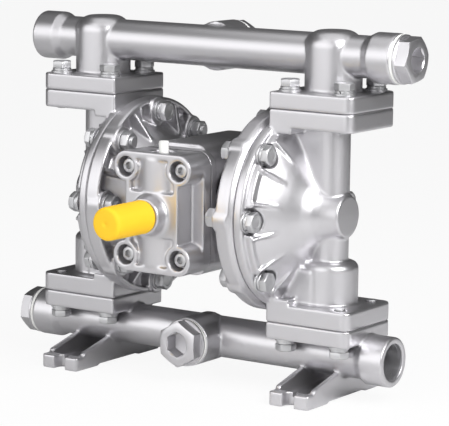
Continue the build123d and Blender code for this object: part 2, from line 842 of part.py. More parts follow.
def inner_disc_solid():
    """Air-side clamping disc, dished towards the diaphragm's rim."""
    back = chamber_joint - inner_disc
    body = turned_x(
        [
            (back, 0), (back, disc_radius - 14), (chamber_joint - 2.2, disc_radius - 1),
            (chamber_joint - 1.2, disc_radius), (chamber_joint, disc_radius - 3), (chamber_joint, 0),
        ],
        axis_z,
    )
    return body - along_x(rod_radius + seat_fit, back - 1, chamber_joint + 1, z=axis_z)


def outer_disc_solid():
    """Liquid-side clamping disc, domed, with a blind bore for the rod's end."""
    face = chamber_joint + diaphragm_rim
    crown = face + outer_disc
    outline = make_face(
        Line((face, 0), (face, disc_radius - 3))
        + Line((face, disc_radius - 3), (face + 1.2, disc_radius))
        + ThreePointArc((face + 1.2, disc_radius), (face + 5.6, disc_radius - 12), (crown, 8.0))
        + Line((crown, 8.0), (crown, 0))
        + Line((crown, 0), (face, 0))
    )
    body = Pos(0, 0, axis_z) * revolve(outline, axis=Axis.X)
    depth = outer_disc_base() - diaphragm_rim
    return body - along_x(rod_radius + seat_fit, face - 1, face + depth, z=axis_z)


def diaphragm():
    """Moulded diaphragm: clamped rim, one rolled fold, flat centre."""
    near = chamber_joint
    far = chamber_joint + diaphragm_rim
    fold_in = disc_radius + fold_gap
    fold_out = air_bowl_radius - fold_wall
    middle = (fold_in + fold_out) / 2
    outer_arc = ThreePointArc((far, fold_in), (far + diaphragm_fold - 2, middle), (far, fold_out))
    inner_arc = ThreePointArc(
        (near, fold_out - fold_wall), (near + diaphragm_fold - fold_wall, middle),
        (near, fold_in + fold_wall))
    outline = (
        Line((near, rod_radius + ball_gap), (far, rod_radius + ball_gap))
        + Line((far, rod_radius + ball_gap), (far, fold_in))
        + outer_arc
        + Line((far, fold_out), (far, diaphragm_radius))
        + Line((far, diaphragm_radius), (near, diaphragm_radius))
        + Line((near, diaphragm_radius), (near, fold_out - fold_wall))
        + inner_arc
        + Line((near, fold_in + fold_wall), (near, rod_radius + ball_gap))
    )
    return Pos(0, 0, axis_z) * revolve(make_face(outline), axis=Axis.X)


def valve_seat():
    """Seat ring with a 45 degree bevel, standing on its origin."""
    top = seat_height
    ring = turned_z(
        [
            (seat_bore, 0), (seat_radius, 0), (seat_radius, top),
            (seat_bore + seat_bevel, top), (seat_bore, top - seat_bevel),
        ]
    )
    depth = 2 * o_ring_section
    half = o_ring_section + slip_fit
    groove = ring_z(o_ring_radius + half, o_ring_radius - half, depth + 1, top - depth)
    return ring - groove


def seat_o_ring():
    return Pos(0, 0, seat_height - o_ring_section) * Torus(o_ring_radius, o_ring_section - 0.05)


def pilot_pin():
    """Right-hand pilot pin, with the flange its spring bears on."""
    tip = bowl_floor + pilot_stick_out
    tail = pilot_floor + pilot_travel + end_gap
    body = along_x(pilot_radius, tail, tip)
    body = chamfer(body.edges().filter_by(GeomType.CIRCLE), 0.5)
    body += along_x(pilot_flange, hub_face - pilot_flange_length, hub_face)
    return Pos(0, 0, axis_z + pilot_offset) * body


def pilot_spring():
    """Right-hand pilot spring, as the tube its coils fill."""
    outside = pilot_flange - slip_fit
    end = pilot_floor + pilot_spring_length
    tube = along_x(outside, pilot_floor, end)
    tube -= along_x(outside - wire, pilot_floor - 1, end + 1)
    return Pos(0, 0, axis_z + pilot_offset) * tube


def chamber_gasket():
    """Right-hand gasket between the centre body and the air chamber."""
    sheet = along_x(air_hub_radius - 1, body_half_width, hub_face, z=axis_z)
    sheet &= block(0, hub_face, -body_front, body_rear, 0, discharge_axis_z)
    sheet -= along_x(rod_radius + bush_wall + 1, body_half_width - 1, hub_face + 1, z=axis_z)
    hole = along_x(pilot_flange + 1, body_half_width - 1, hub_face + 1)
    sheet -= Pos(0, 0, axis_z + pilot_offset) * hole
    for angle in (45, 135, 225, 315):
        hole = along_x(screw_shank + 0.4, body_half_width - 1, hub_face + 1)
        sheet -= round_axis(hole, angle, air_screw_circle)
    return sheet


def rod_bush():
    """Right-hand rod bush."""
    outer = body_half_width - seal_length
    tube = along_x(rod_radius + bush_wall - seat_fit, outer - bush_length, outer, z=axis_z)
    return tube - along_x(rod_radius + running_fit, 0, body_half_width, z=axis_z)


def rod_seal():
    """Right-hand lip seal outside the bush."""
    outer = body_half_width
    tube = along_x(rod_radius + bush_wall - seat_fit, outer - seal_length + 0.2, outer, z=axis_z)
    tube -= along_x(rod_radius + slip_fit, 0, outer + 1, z=axis_z)
    lip = along_x(rod_radius + 1.6, outer - 1.5, outer + 1, z=axis_z)
    return tube - (lip - along_x(rod_radius + 0.8, outer - 2, outer + 2, z=axis_z))


def hex_bolt(length):
    """Hexagon bolt under its own head, pointing down from the origin."""
    body = hex_prism(bolt_hex, bolt_head)
    shank = along_z(bolt_radius, -length, 0)
    return body + chamfer(shank.edges().group_by(Axis.Z)[0], 0.8)


def socket_screw(head_radius, head_height, shank, length):
    """Socket head screw, pointing down from the origin."""
    head = along_z(head_radius, 0, head_height)
    head -= extrude(Pos(0, 0, head_height * 0.45) * RegularPolygon(head_radius * 0.52, 6), head_height)
    return head + along_z(shank, -length, 0)


def split_washer():
    ring = ring_z(spring_radius, bolt_radius + 0.15, spring_washer)
    return ring - Rot(0, 25, 0) * block(0, spring_radius + 1, -0.4, 0.4, -3, 4)


def plain_washer():
    return ring_z(washer_radius, bolt_radius + 0.3, flat_washer)


def manifold_places(upper):
    """Seats of the flange bolts and the turn that points their heads outwards."""
    for side in sides:
        for x, y in at_bolts(side):
            if upper:
                yield Pos(x, y, upper_joint + manifold_flange)
            else:
                yield Pos(x, y, lower_joint - manifold_flange) * Rot(180, 0, 0)


def chamber_places(side, through):
    """Seats of the chamber bolts on the outer face, heads pointing outwards."""
    for angle in bolt_angles(through):
        turn = math.radians(angle)
        y = bolt_circle * math.cos(turn)
        z = axis_z + bolt_circle * math.sin(turn)
        if through:
            yield Pos(side * ring_face, y, z) * Rot(0, side * 90, 0) * Rot(0, 0, 30)
        else:
            yield Pos(side * lug_end, y, z) * Rot(0, -side * 90, 0)


def hex_plug():
    """Port plug: thread below the origin, hexagon with a socket above."""
    head = hex_prism(plug_hex, plug_hex_length)
    socket = Pos(0, 0, plug_hex_length - plug_socket_depth)
    head -= socket * extrude(RegularPolygon(plug_socket / math.sqrt(3), 6), plug_hex_length)
    thread = along_z(port_radius - thread_fit, -plug_thread - plug_washer, 0)
    return head + chamfer(thread.edges().group_by(Axis.Z)[0], 1.0)


def plug_places():
    """Faces of the four plugged ports, pointing outwards."""
    return {
        "upper_end_plug": Pos(port_reach + plug_washer, 0, discharge_axis_z)
        * Rot(0, 90, 0) * Rot(0, 0, 40),
        "lower_end_plug": Pos(-port_reach - plug_washer, 0, suction_axis_z)
        * Rot(0, -90, 0) * Rot(0, 0, 15),
        "upper_rear_plug": Pos(0, rear_boss_reach + plug_washer, discharge_axis_z)
        * Rot(-90, 0, 0),
        "lower_front_plug": Pos(0, -front_boss_reach - plug_washer, suction_axis_z)
        * Rot(90, 0, 0),
    }


def collected(shapes):
    """Several solids as one group."""
    solids = []
    for shape in shapes:
        solids.extend(shape.solids())
    return Compound(children=solids)


def build():
    parts = {}
    parts["upper_manifold"] = upper_manifold()
    parts["lower_manifold"] = lower_manifold()
    pairs = {
        "liquid_chamber": liquid_chamber(),
        "air_chamber": air_chamber(),
        "diaphragm": diaphragm(),
        "inner_disc": inner_disc_solid(),
        "outer_disc": outer_disc_solid(),
        "pilot_pin": pilot_pin(),
        "pilot_spring": pilot_spring(),
        "rod_bush": rod_bush(),
        "rod_seal": rod_seal(),
        "chamber_gasket": chamber_gasket(),
    }
    for name, shape in pairs.items():
        parts["right_" + name] = shape
        parts["left_" + name] = mirrored(shape)
    parts["center_body"] = center_body()
    parts["center_rod"] = rod()
    parts["valve_body"] = valve_body()
    parts["valve_gasket"] = valve_gasket()
    parts["valve_sleeve"] = valve_sleeve()
    parts["valve_spool"] = valve_spool()
    parts["upper_end_cover"] = end_plug(True)
    parts["lower_end_cover"] = end_plug(False)
    parts["retaining_rings"] = retaining_rings()
    parts["reset_button"] = reset_button()
    parts["inlet_nipple"] = inlet_nipple()
    parts["inlet_cap"] = inlet_cap()
    parts["muffler"] = muffler()

    seats = {"upper": upper_joint - seat_height, "lower": lower_joint - seat_height}
    rings = []
    for level, base in seats.items():
        for side, hand in ((-1, "left"), (1, "right")):
            place = Pos(side * column_offset, 0, base)
            parts[f"{level}_{hand}_seat"] = place * valve_seat()
            rings.append(place * seat_o_ring())
            height = ball_center(base + seat_height)
            parts[f"{level}_{hand}_ball"] = Pos(side * column_offset, 0, height) * Sphere(ball_radius)
    parts["seat_o_rings"] = collected(rings)

    grip = flat_washer + spring_washer
    flange = [p for upper in (True, False) for p in manifold_places(upper)]
    bolt = hex_bolt(grip + manifold_flange + chamber_flange + bolt_show)
    parts["flange_bolts"] = collected(p * Pos(0, 0, grip) * bolt for p in flange)

    span = ring_face - lug_end
    bolt = hex_bolt(grip + span + flat_washer + nut_height + stud_show)
    nut = hex_prism(bolt_hex, nut_height) - along_z(bolt_radius + thread_fit, -1, nut_height + 1)
    outside = [p for side in sides for p in chamber_places(side, True)]
    inside = [p * Pos(0, 0, -span) * Rot(180, 0, 0) for p in outside]
    turned = [p for side in sides for p in chamber_places(side, False)]
    parts["chamber_bolts"] = collected(p * Pos(0, 0, grip) * bolt for p in outside)
    parts["chamber_nuts"] = collected(p * Pos(0, 0, flat_washer) * nut for p in inside)
    screw = hex_bolt(grip + chamber_joint - lug_end + chamber_grip)
    parts["chamber_screws"] = collected(p * Pos(0, 0, grip) * screw for p in turned)
    sprung = flange + outside + turned
    parts["spring_washers"] = collected(
        p * Pos(0, 0, flat_washer) * split_washer() for p in sprung)
    parts["flat_washers"] = collected(p * plain_washer() for p in sprung + inside)

    hub_screw = socket_screw(screw_head_radius, screw_head_height, screw_shank, hub_screw_length)
    seat_x = bowl_floor - screw_head_height - 0.5
    hub_screws = []
    for side in sides:
        for angle in (45, 135, 225, 315):
            hub_screws.append(round_axis(
                Pos(side * seat_x, 0, 0) * Rot(0, side * 90, 0) * hub_screw, angle, air_screw_circle))
    parts["hub_screws"] = collected(hub_screws)
    seat_y = valve_front + valve_screw_sunk + screw_head_height
    valve_screw = socket_screw(screw_head_radius, screw_head_height, screw_shank,
                               plate_front + plate_thickness - 1.5 - seat_y)
    parts["valve_screws"] = collected(
        Pos(x, seat_y, z) * Rot(90, 0, 0) * valve_screw for x, z in valve_screw_centers())

    washers = []
    for name, place in plug_places().items():
        parts[name] = place * hex_plug()
        ring = ring_z(plug_washer_radius, port_radius + 0.2, plug_washer, -plug_washer)
        washers.append(place * ring)
    parts["plug_washers"] = collected(washers)
    return parts


os.makedirs("parts", exist_ok=True)
for part_name, solid in build().items():
    export_step(solid, f"parts/{part_name}.step")
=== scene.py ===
import json
import math
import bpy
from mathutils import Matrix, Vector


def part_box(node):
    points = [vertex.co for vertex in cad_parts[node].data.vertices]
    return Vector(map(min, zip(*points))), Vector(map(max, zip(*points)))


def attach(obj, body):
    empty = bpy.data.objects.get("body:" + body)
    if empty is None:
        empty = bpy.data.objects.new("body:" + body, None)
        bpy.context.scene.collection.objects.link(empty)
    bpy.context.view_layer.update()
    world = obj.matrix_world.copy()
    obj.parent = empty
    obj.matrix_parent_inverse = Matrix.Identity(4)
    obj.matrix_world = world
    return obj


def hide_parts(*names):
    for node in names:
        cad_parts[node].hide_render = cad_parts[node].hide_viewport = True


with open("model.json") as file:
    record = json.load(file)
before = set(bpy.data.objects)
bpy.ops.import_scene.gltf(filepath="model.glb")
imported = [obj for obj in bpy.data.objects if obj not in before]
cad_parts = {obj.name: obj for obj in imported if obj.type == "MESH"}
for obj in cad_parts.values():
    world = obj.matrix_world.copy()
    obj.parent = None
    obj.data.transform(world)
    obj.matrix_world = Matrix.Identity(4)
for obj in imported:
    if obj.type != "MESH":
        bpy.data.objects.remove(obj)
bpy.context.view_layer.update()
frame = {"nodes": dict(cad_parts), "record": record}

from types import SimpleNamespace

import bpy
from bpy.props import (FloatProperty, FloatVectorProperty, IntProperty, PointerProperty,
                       StringProperty)
from mathutils import Matrix, Vector

bl_info = {
    "name": "Diaphragm Pump Dressing",
    "version": (1, 0, 0),
    "blender": (4, 5, 0),
    "location": "View3D > Sidebar > Pump",
    "description": "Cast surfaces, fasteners, threads and finishes of a diaphragm pump",
    "category": "Object",
}

MM = 0.001
nodes = frame["nodes"]
body_of_node = {n: b for b, group in frame["record"]["behaviour"]["bodies"].items() for n in group}
slot_of_node = {s["node"]: s["material_slot"] for s in frame["record"]["subparts"]}


class CastingSettings(bpy.types.PropertyGroup):
    """How the castings' edges and inner corners are softened."""

    grain: FloatProperty(name="Mesh size", description="Side of the cells along the skin",
                         default=0.8 * MM, min=0.4 * MM, unit="LENGTH")
    rounds: IntProperty(name="Softening", description="Smoothing passes that round the edges",
                        default=6, min=0)
    keep: FloatProperty(name="Faces kept", description="Share of the faces kept on flat stretches",
                        default=0.35, min=0.05, max=1.0, subtype="FACTOR")


class CoverSettings(bpy.types.PropertyGroup):
    """Outside of the liquid chambers beyond the plain dome, made for the right-hand one.

    Radii are taken round the centre rod, and stations from the pump's middle along it.
    """

    foot: FloatProperty(name="Foot radius", description="Where the dome leaves the ring",
                        default=61 * MM, unit="LENGTH")
    face: FloatProperty(name="Ring face", description="Station of the ring's outer face",
                        default=72.5 * MM, unit="LENGTH")
    spot: FloatProperty(name="Spot face radius", description="Round each bolt head",
                        default=8.7 * MM, unit="LENGTH")
    spot_floor: FloatProperty(name="Spot face floor", description="Station of the spot faces",
                              default=71.2 * MM, unit="LENGTH")
    spot_mouth: FloatProperty(name="Spot face mouth", description="Station clear of the dome",
                              default=100 * MM, unit="LENGTH")
    bolt_circle: FloatProperty(name="Bolt circle", description="Radius of the bolts' ring",
                               default=63.5 * MM, unit="LENGTH")
    fins: IntProperty(name="Fins", description="Two beside each bolt", default=16)
    fin: FloatProperty(name="Fin thickness", description="Of each cast fin",
                       default=2 * MM, unit="LENGTH")
    fin_length: FloatProperty(name="Fin length", description="Along its crest",
                              default=23.1 * MM, unit="LENGTH")
    fin_depth: FloatProperty(name="Fin depth", description="From crest to buried root",
                             default=5 * MM, unit="LENGTH")
    fin_slope: FloatProperty(name="Fin slope", description="Of the crest, down to the ring",
                             default=math.radians(24.6), unit="ROTATION")
    fin_radius: FloatProperty(name="Fin radius", description="To the fin's middle",
                              default=53.96 * MM, unit="LENGTH")
    fin_station: FloatProperty(name="Fin station", description="Of the fin's middle",
                               default=80.13 * MM, unit="LENGTH")
    elbow: FloatProperty(name="Elbow half width", description="From chamber to valve cup",
                         default=21 * MM, unit="LENGTH")
    elbow_start: FloatProperty(name="Elbow start", description="Station inside the ring",
                               default=71.5 * MM, unit="LENGTH")
    elbow_end: FloatProperty(name="Elbow end", description="Station inside the valve cup",
                             default=101.5 * MM, unit="LENGTH")
    elbow_foot: FloatProperty(name="Elbow foot", description="Height above the floor",
                              default=60 * MM, unit="LENGTH")
    elbow_top: FloatProperty(name="Elbow top", description="Height above the floor",
                             default=94.5 * MM, unit="LENGTH")
    elbow_edge: FloatProperty(name="Elbow edge", description="Rounding of its edges",
                              default=4 * MM, unit="LENGTH")
    ball_way: FloatProperty(name="Ball way", description="Radius kept open round the valve ball",
                            default=18 * MM, unit="LENGTH")
    hollow: FloatProperty(name="Hollow radius", description="Ball that stays clear in the chamber",
                          default=57 * MM, unit="LENGTH")
    hollow_station: FloatProperty(name="Hollow station", description="Of that ball's middle",
                                  default=44 * MM, unit="LENGTH")


class FastenerSettings(bpy.types.PropertyGroup):
    """Sizes of the hexagon fasteners, socket screws and washers."""

    hex_size: FloatProperty(name="Spanner size", description="Across the flats of M8",
                            default=13 * MM, unit="LENGTH")
    head: FloatProperty(name="Head height", description="Of the hexagon bolts",
                        default=5.3 * MM, unit="LENGTH")
    face: FloatProperty(name="Washer face", description="Height of the turned face below the head",
                        default=0.3 * MM, unit="LENGTH")
    chamfer: FloatProperty(name="Chamfer", description="Height over which the corners run out",
                           default=0.9 * MM, unit="LENGTH")
    nut: FloatProperty(name="Nut height", description="Plain hexagon nut",
                       default=6.5 * MM, unit="LENGTH")
    shank: FloatProperty(name="Shank radius", description="M8", default=4 * MM, unit="LENGTH")
    pitch: FloatProperty(name="Pitch", description="Coarse thread",
                         default=1.25 * MM, unit="LENGTH")
    threaded: FloatProperty(name="Threaded length", description="From the tip of the shank",
                            default=9 * MM, unit="LENGTH")
    screw_head: FloatProperty(name="Screw head", description="Radius of the M6 socket head",
                              default=5 * MM, unit="LENGTH")
    screw_height: FloatProperty(name="Screw head height", description="M6 socket head",
                                default=6 * MM, unit="LENGTH")
    screw_shank: FloatProperty(name="Screw shank", description="Radius of M6",
                               default=3 * MM, unit="LENGTH")
    screw_key: FloatProperty(name="Screw key size", description="Across the flats",
                             default=5 * MM, unit="LENGTH")
    washer_play: FloatProperty(name="Washer play", description="Round the shank",
                               default=0.3 * MM, unit="LENGTH")
    washer_split: FloatProperty(name="Washer split", description="Gap in a spring washer",
                                default=0.8 * MM, unit="LENGTH")


class PortSettings(bpy.types.PropertyGroup):
    """Threads of the open ports, and the plugs of the closed ones."""

    pitch: FloatProperty(name="Pitch", description="14 threads to the inch",
                         default=1.814 * MM, unit="LENGTH")
    depth: FloatProperty(name="Thread depth", description="Crest to root",
                         default=1.1 * MM, unit="LENGTH")
    turns: IntProperty(name="Turns", description="Full turns of thread", default=9)
    plug_flats: FloatProperty(name="Plug size", description="Across the flats",
                              default=29.5 * MM, unit="LENGTH")
    plug_height: FloatProperty(name="Plug height", description="From its washer to its end",
                               default=11.5 * MM, unit="LENGTH")
    plug_collar: FloatProperty(name="Plug collar", description="Height of the round collar",
                               default=2.2 * MM, unit="LENGTH")
    plug_socket: FloatProperty(name="Plug key size", description="Across the flats",
                               default=16.5 * MM, unit="LENGTH")
    socket_depth: FloatProperty(name="Plug socket depth", description="From the plug's end",
                                default=10.6 * MM, unit="LENGTH")
    plug_thread: FloatProperty(name="Plug thread", description="Radius of the threaded part",
                               default=13 * MM, unit="LENGTH")
    plug_reach: FloatProperty(name="Plug reach", description="Of the threaded part into the port",
                              default=15 * MM, unit="LENGTH")


class CapSettings(bpy.types.PropertyGroup):
    """The pull-off cap on the air inlet."""

    radius: FloatProperty(name="Radius", description="At the mouth",
                          default=12.1 * MM, unit="LENGTH")
    taper: FloatProperty(name="Taper", description="Radius lost to the closed end",
                         default=0.25 * MM, unit="LENGTH")
    edge: FloatProperty(name="Edge", description="Rounding of the closed end",
                        default=3 * MM, unit="LENGTH")
    wall: FloatProperty(name="Wall", description="Of the skirt", default=1.3 * MM, unit="LENGTH")
    end: FloatProperty(name="End thickness", description="Of the closed end",
                       default=2 * MM, unit="LENGTH")


class FinishSettings(bpy.types.PropertyGroup):
    """Colours as sRGB hexadecimal words."""

    casting: StringProperty(name="Casting", description="Blasted aluminium", default="#DEDCE0")
    shade: StringProperty(name="Casting shade", description="Darker mottling", default="#D2D0D5")
    zinc: StringProperty(name="Fasteners", description="Zinc plated steel", default="#BDBCBF")
    cap: StringProperty(name="Cap", description="Yellow polyethylene", default="#FFC800")
    rubber: StringProperty(name="Rubber", description="Black rubber", default="#1C1C1E")
    white: StringProperty(name="White plastic", description="Natural acetal", default="#E6E4DE")
    bronze: StringProperty(name="Bronze", description="Turned bronze", default="#B98A52")
    brass: StringProperty(name="Brass", description="Turned brass", default="#D0AE66")
    dark: StringProperty(name="Dark plastic", description="Muffler body", default="#2E2E31")


class StageSettings(bpy.types.PropertyGroup):
    """Camera, lamps and floor. Azimuths are taken from the front to the right."""

    azimuth: FloatProperty(name="Azimuth", description="Of the camera",
                           default=math.radians(34.06), unit="ROTATION")
    elevation: FloatProperty(name="Elevation", description="Of the camera above the horizon",
                             default=math.radians(8.96), unit="ROTATION")
    roll: FloatProperty(name="Roll", description="Turn of the picture",
                        default=math.radians(0.74), unit="ROTATION")
    distance: FloatProperty(name="Distance", description="To the aiming point",
                            default=1747.88 * MM, unit="LENGTH")
    aim_right: FloatProperty(name="Aim right", description="Beside the pump's middle",
                             default=8.42 * MM, unit="LENGTH")
    aim_up: FloatProperty(name="Aim up", description="Above the floor",
                          default=121.84 * MM, unit="LENGTH")
    lens: FloatProperty(name="Lens", description="Focal length on a 36 mm sensor",
                        default=190.91, unit="CAMERA")
    key: FloatProperty(name="Key lamp", description="Strength of the front left light",
                       default=1.7, min=0)
    key_way: FloatVectorProperty(name="Key way", description="Azimuth and rise", size=2,
                                 default=(math.radians(-14), math.radians(9)), unit="ROTATION")
    key_spread: FloatProperty(name="Key spread", description="Angle that the light fills",
                              default=math.radians(85), unit="ROTATION")
    front: FloatProperty(name="Front softbox", description="Brightness of its face",
                         default=0.77, min=0)
    front_way: FloatVectorProperty(name="Front way", description="Azimuth and rise", size=2,
                                   default=(math.radians(-20), 0.0), unit="ROTATION")
    front_size: FloatVectorProperty(name="Front size", description="Width and height", size=2,
                                    default=(1.8, 0.9), unit="LENGTH")
    front_above: FloatProperty(name="Front aim", description="Height that it faces",
                               default=0.42, unit="LENGTH")
    side: FloatProperty(name="Side softbox", description="Brightness of its face",
                        default=9.0, min=0)
    side_way: FloatVectorProperty(name="Side way", description="Azimuth and rise", size=2,
                                  default=(math.radians(73), math.radians(30)), unit="ROTATION")
    side_size: FloatVectorProperty(name="Side size", description="Width and height", size=2,
                                   default=(0.6, 0.6), unit="LENGTH")
    top: FloatProperty(name="Top softbox", description="Brightness of its face",
                       default=0.95, min=0)
    top_way: FloatVectorProperty(name="Top way", description="Azimuth and rise", size=2,
                                 default=(math.radians(20), math.radians(80)), unit="ROTATION")
    top_size: FloatVectorProperty(name="Top size", description="Width and height", size=2,
                                  default=(1.2, 1.2), unit="LENGTH")
    middle: FloatProperty(name="Pump's middle", description="Height that side and top face",
                          default=0.13, unit="LENGTH")
    away: FloatProperty(name="Lamp distance", description="From what a lamp faces",
                        default=1.0, unit="LENGTH")
    air: FloatProperty(name="Surroundings", description="Strength of the room's light",
                       default=0.02, min=0)
    paper: FloatProperty(name="Paper", description="Share of light that the floor gives back",
                         default=0.85, min=0, max=1, subtype="FACTOR")
    seen_white: FloatProperty(name="White seen", default=0.92, min=0, max=1, subtype="FACTOR",
                              description="Share of plain white in the floor for the camera")
    gloss_white: FloatProperty(name="White in gloss", default=0.0, min=0, max=1, subtype="FACTOR",
                               description="Share of plain white in the floor for gloss")


def settings():
    return bpy.context.scene.pump


def millimetres(group):
    """The settings of a group, with each length in millimetres."""
    values = {}
    for setting in group.bl_rna.properties:
        if setting.identifier not in ("rna_type", "name"):
            value = getattr(group, setting.identifier)
            values[setting.identifier] = round(value / MM, 3) if setting.unit == "LENGTH" else value
    return SimpleNamespace(**values)


def linear(hex_color):
    """sRGB hexadecimal to linear red, green, blue and alpha."""
    channels = [int(hex_color[i:i + 2], 16) / 255 for i in (1, 3, 5)]
    return [c / 12.92 if c <= 0.04045 else ((c + 0.055) / 1.055) ** 2.4 for c in channels] + [1.0]


def add(tree, kind, links=None, **values):
    """Adds a node: values set its fields or inputs, links join its inputs to other outputs."""
    node = tree.nodes.new(kind)
    for key, value in values.items():
        if hasattr(node, key):
            setattr(node, key, value)
        else:
            node.inputs[key.replace("_", " ")].default_value = value
    for key, source in (links or {}).items():
        tree.links.new(source, node.inputs[key])
    return node


def surface(name):
    """New material with a Principled shader: returns it, its tree and the shader."""
    material = bpy.data.materials.new(name)
    material.use_nodes = True
    tree = material.node_tree
    shader = tree.nodes["Principled BSDF"]
    return material, tree, shader


def place_texture(tree):
    """The piece's own coordinates, in metres of the pump's frame."""
    return tree.nodes.new("ShaderNodeTexCoord").outputs["Object"]


def per_mm(count):
    """Scale of a noise, read in metres, that has this many marks in a millimetre."""
    return count / MM


def blasted_aluminium(name, light, dark, roughness):
    """Gravity cast aluminium, bead blasted: even satin metal with a fine sugary grain."""
    material, tree, shader = surface(name)
    where = place_texture(tree)
    # slow changes of tone from the blasting, about 25 mm across
    cloud = add(tree, "ShaderNodeTexNoise", {"Vector": where}, Scale=per_mm(0.04), Detail=3.0)
    tone = add(tree, "ShaderNodeMix", {"Factor": cloud.outputs["Fac"]}, data_type="RGBA")
    tone.inputs["A"].default_value = linear(dark)
    tone.inputs["B"].default_value = linear(light)
    tree.links.new(tone.outputs["Result"], shader.inputs["Base Color"])
    # the beads' dimples are 0.2 mm, drawn 0.9 mm wide so that they show at this size
    grain = add(tree, "ShaderNodeTexNoise", {"Vector": where}, Scale=per_mm(1.1), Detail=2.0)
    # the skin of the sand core and mould, waves about 6 mm long
    skin = add(tree, "ShaderNodeTexNoise", {"Vector": where}, Scale=per_mm(0.17), Detail=2.0)
    rough = add(tree, "ShaderNodeMapRange", {"Value": grain.outputs["Fac"]},
                To_Min=roughness - 0.05, To_Max=roughness + 0.07)
    tree.links.new(rough.outputs["Result"], shader.inputs["Roughness"])
    waves = add(tree, "ShaderNodeBump", {"Height": skin.outputs["Fac"]},
                Strength=0.12, Distance=0.6 * MM)
    dimples = add(tree, "ShaderNodeBump",
                  {"Height": grain.outputs["Fac"], "Normal": waves.outputs["Normal"]},
                  Strength=0.2, Distance=0.25 * MM)
    tree.links.new(dimples.outputs["Normal"], shader.inputs["Normal"])
    # a little of the blasted skin scatters as a dull grey
    shader.inputs["Metallic"].default_value = 0.85
    return material


def plated_steel(name, color, roughness, streaks):
    """Zinc plated or turned metal: brighter and smoother than the castings, with fine marks."""
    material, tree, shader = surface(name)
    where = place_texture(tree)
    mark = add(tree, "ShaderNodeTexNoise", {"Vector": where}, Scale=per_mm(streaks), Detail=4.0)
    rough = add(tree, "ShaderNodeMapRange", {"Value": mark.outputs["Fac"]},
                To_Min=roughness - 0.08, To_Max=roughness + 0.12)
    tree.links.new(rough.outputs["Result"], shader.inputs["Roughness"])
    bump = add(tree, "ShaderNodeBump", {"Height": mark.outputs["Fac"]},
               Strength=0.06, Distance=0.2 * MM)
    tree.links.new(bump.outputs["Normal"], shader.inputs["Normal"])
    shader.inputs["Base Color"].default_value = linear(color)
    shader.inputs["Metallic"].default_value = 1.0
    return material


def moulded_plastic(name, color, roughness, peel, strength, gloss=0.5):
    """Moulded plastic or rubber: an even colour with a slight orange-peel skin."""
    material, tree, shader = surface(name)
    where = place_texture(tree)
    skin = add(tree, "ShaderNodeTexNoise", {"Vector": where}, Scale=per_mm(peel), Detail=2.0)
    bump = add(tree, "ShaderNodeBump", {"Height": skin.outputs["Fac"]},
               Strength=strength, Distance=0.4 * MM)
    tree.links.new(bump.outputs["Normal"], shader.inputs["Normal"])
    rough = add(tree, "ShaderNodeMapRange", {"Value": skin.outputs["Fac"]},
                To_Min=roughness - 0.05, To_Max=roughness + 0.08)
    tree.links.new(rough.outputs["Result"], shader.inputs["Roughness"])
    shader.inputs["Base Color"].default_value = linear(color)
    shader.inputs["Specular IOR Level"].default_value = gloss
    return material


def finishes():
    """One material for each of the record's slots, made once. Marks are counted in a millimetre."""
    colors = settings().finish
    makers = {
        # bead-blasted cast aluminium: soft broad highlights
        "cast_aluminium": lambda n: blasted_aluminium(n, colors.casting, colors.shade,
                                                      roughness=0.38),
        # bright zinc plate over rolled hexagon steel: small crisp highlights
        "zinc_plated_steel": lambda n: plated_steel(n, colors.zinc, roughness=0.3, streaks=0.35),
        # nitrile rubber, moulded: black and dull
        "black_rubber": lambda n: moulded_plastic(n, colors.rubber, roughness=0.6, peel=0.6,
                                                  strength=0.1),
        # natural acetal: milky white
        "white_plastic": lambda n: moulded_plastic(n, colors.white, roughness=0.4, peel=0.5,
                                                   strength=0.05),
        # turned bronze bush: warm, its 0.1 mm grooves drawn 1.1 mm wide so that they show
        "bronze": lambda n: plated_steel(n, colors.bronze, roughness=0.35, streaks=0.9),
        # turned brass nipple: yellow and bright, grooves as on the bronze
        "brass": lambda n: plated_steel(n, colors.brass, roughness=0.3, streaks=0.9),
        # blow moulded polyethylene cap: deep colour under a faint, dull gloss
        "yellow_plastic": lambda n: moulded_plastic(n, colors.cap, roughness=0.5, peel=0.26,
                                                    strength=0.1, gloss=0.2),
        # glass filled nylon muffler: dark grey, dull
        "dark_plastic": lambda n: moulded_plastic(n, colors.dark, roughness=0.55, peel=0.7,
                                                  strength=0.15),
    }
    for slot, make in makers.items():
        if slot not in bpy.data.materials:
            make(slot)
    return bpy.data.materials


def deselect():
    """Back to object mode with nothing selected."""
    if bpy.context.object and bpy.context.object.mode != "OBJECT":
        bpy.ops.object.mode_set(mode="OBJECT")
    bpy.ops.object.select_all(action="DESELECT")


def pick(obj):
    """Makes this the only selected and active object."""
    deselect()
    obj.select_set(True)
    bpy.context.view_layer.objects.active = obj
    return obj


def modify(obj, kind, **values):
    """Adds a modifier and applies it."""
    pick(obj)
    modifier = obj.modifiers.new(kind.title(), kind)
    for key, value in values.items():
        setattr(modifier, key, value)
    bpy.ops.object.modifier_apply(modifier=modifier.name)


def dress(obj, node, *others):
    """The piece takes the node's place, its body and its finish."""
    obj.data.materials.clear()
    obj.data.materials.append(finishes()[slot_of_node[node]])
    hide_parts(node, *others)
    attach(obj, body_of_node[node])
    return obj


def merged_copy(node, name):
    """A copy of a CAD node whose loose triangles are joined."""
    source = nodes[node]
    copy = bpy.data.objects.new(name, source.data.copy())
    bpy.context.scene.collection.objects.link(copy)
    pick(copy)
    bpy.ops.object.mode_set(mode="EDIT")
    bpy.ops.mesh.select_all(action="SELECT")
    bpy.ops.mesh.remove_doubles(threshold=0.005 * MM)
    bpy.ops.object.mode_set(mode="OBJECT")
    return copy


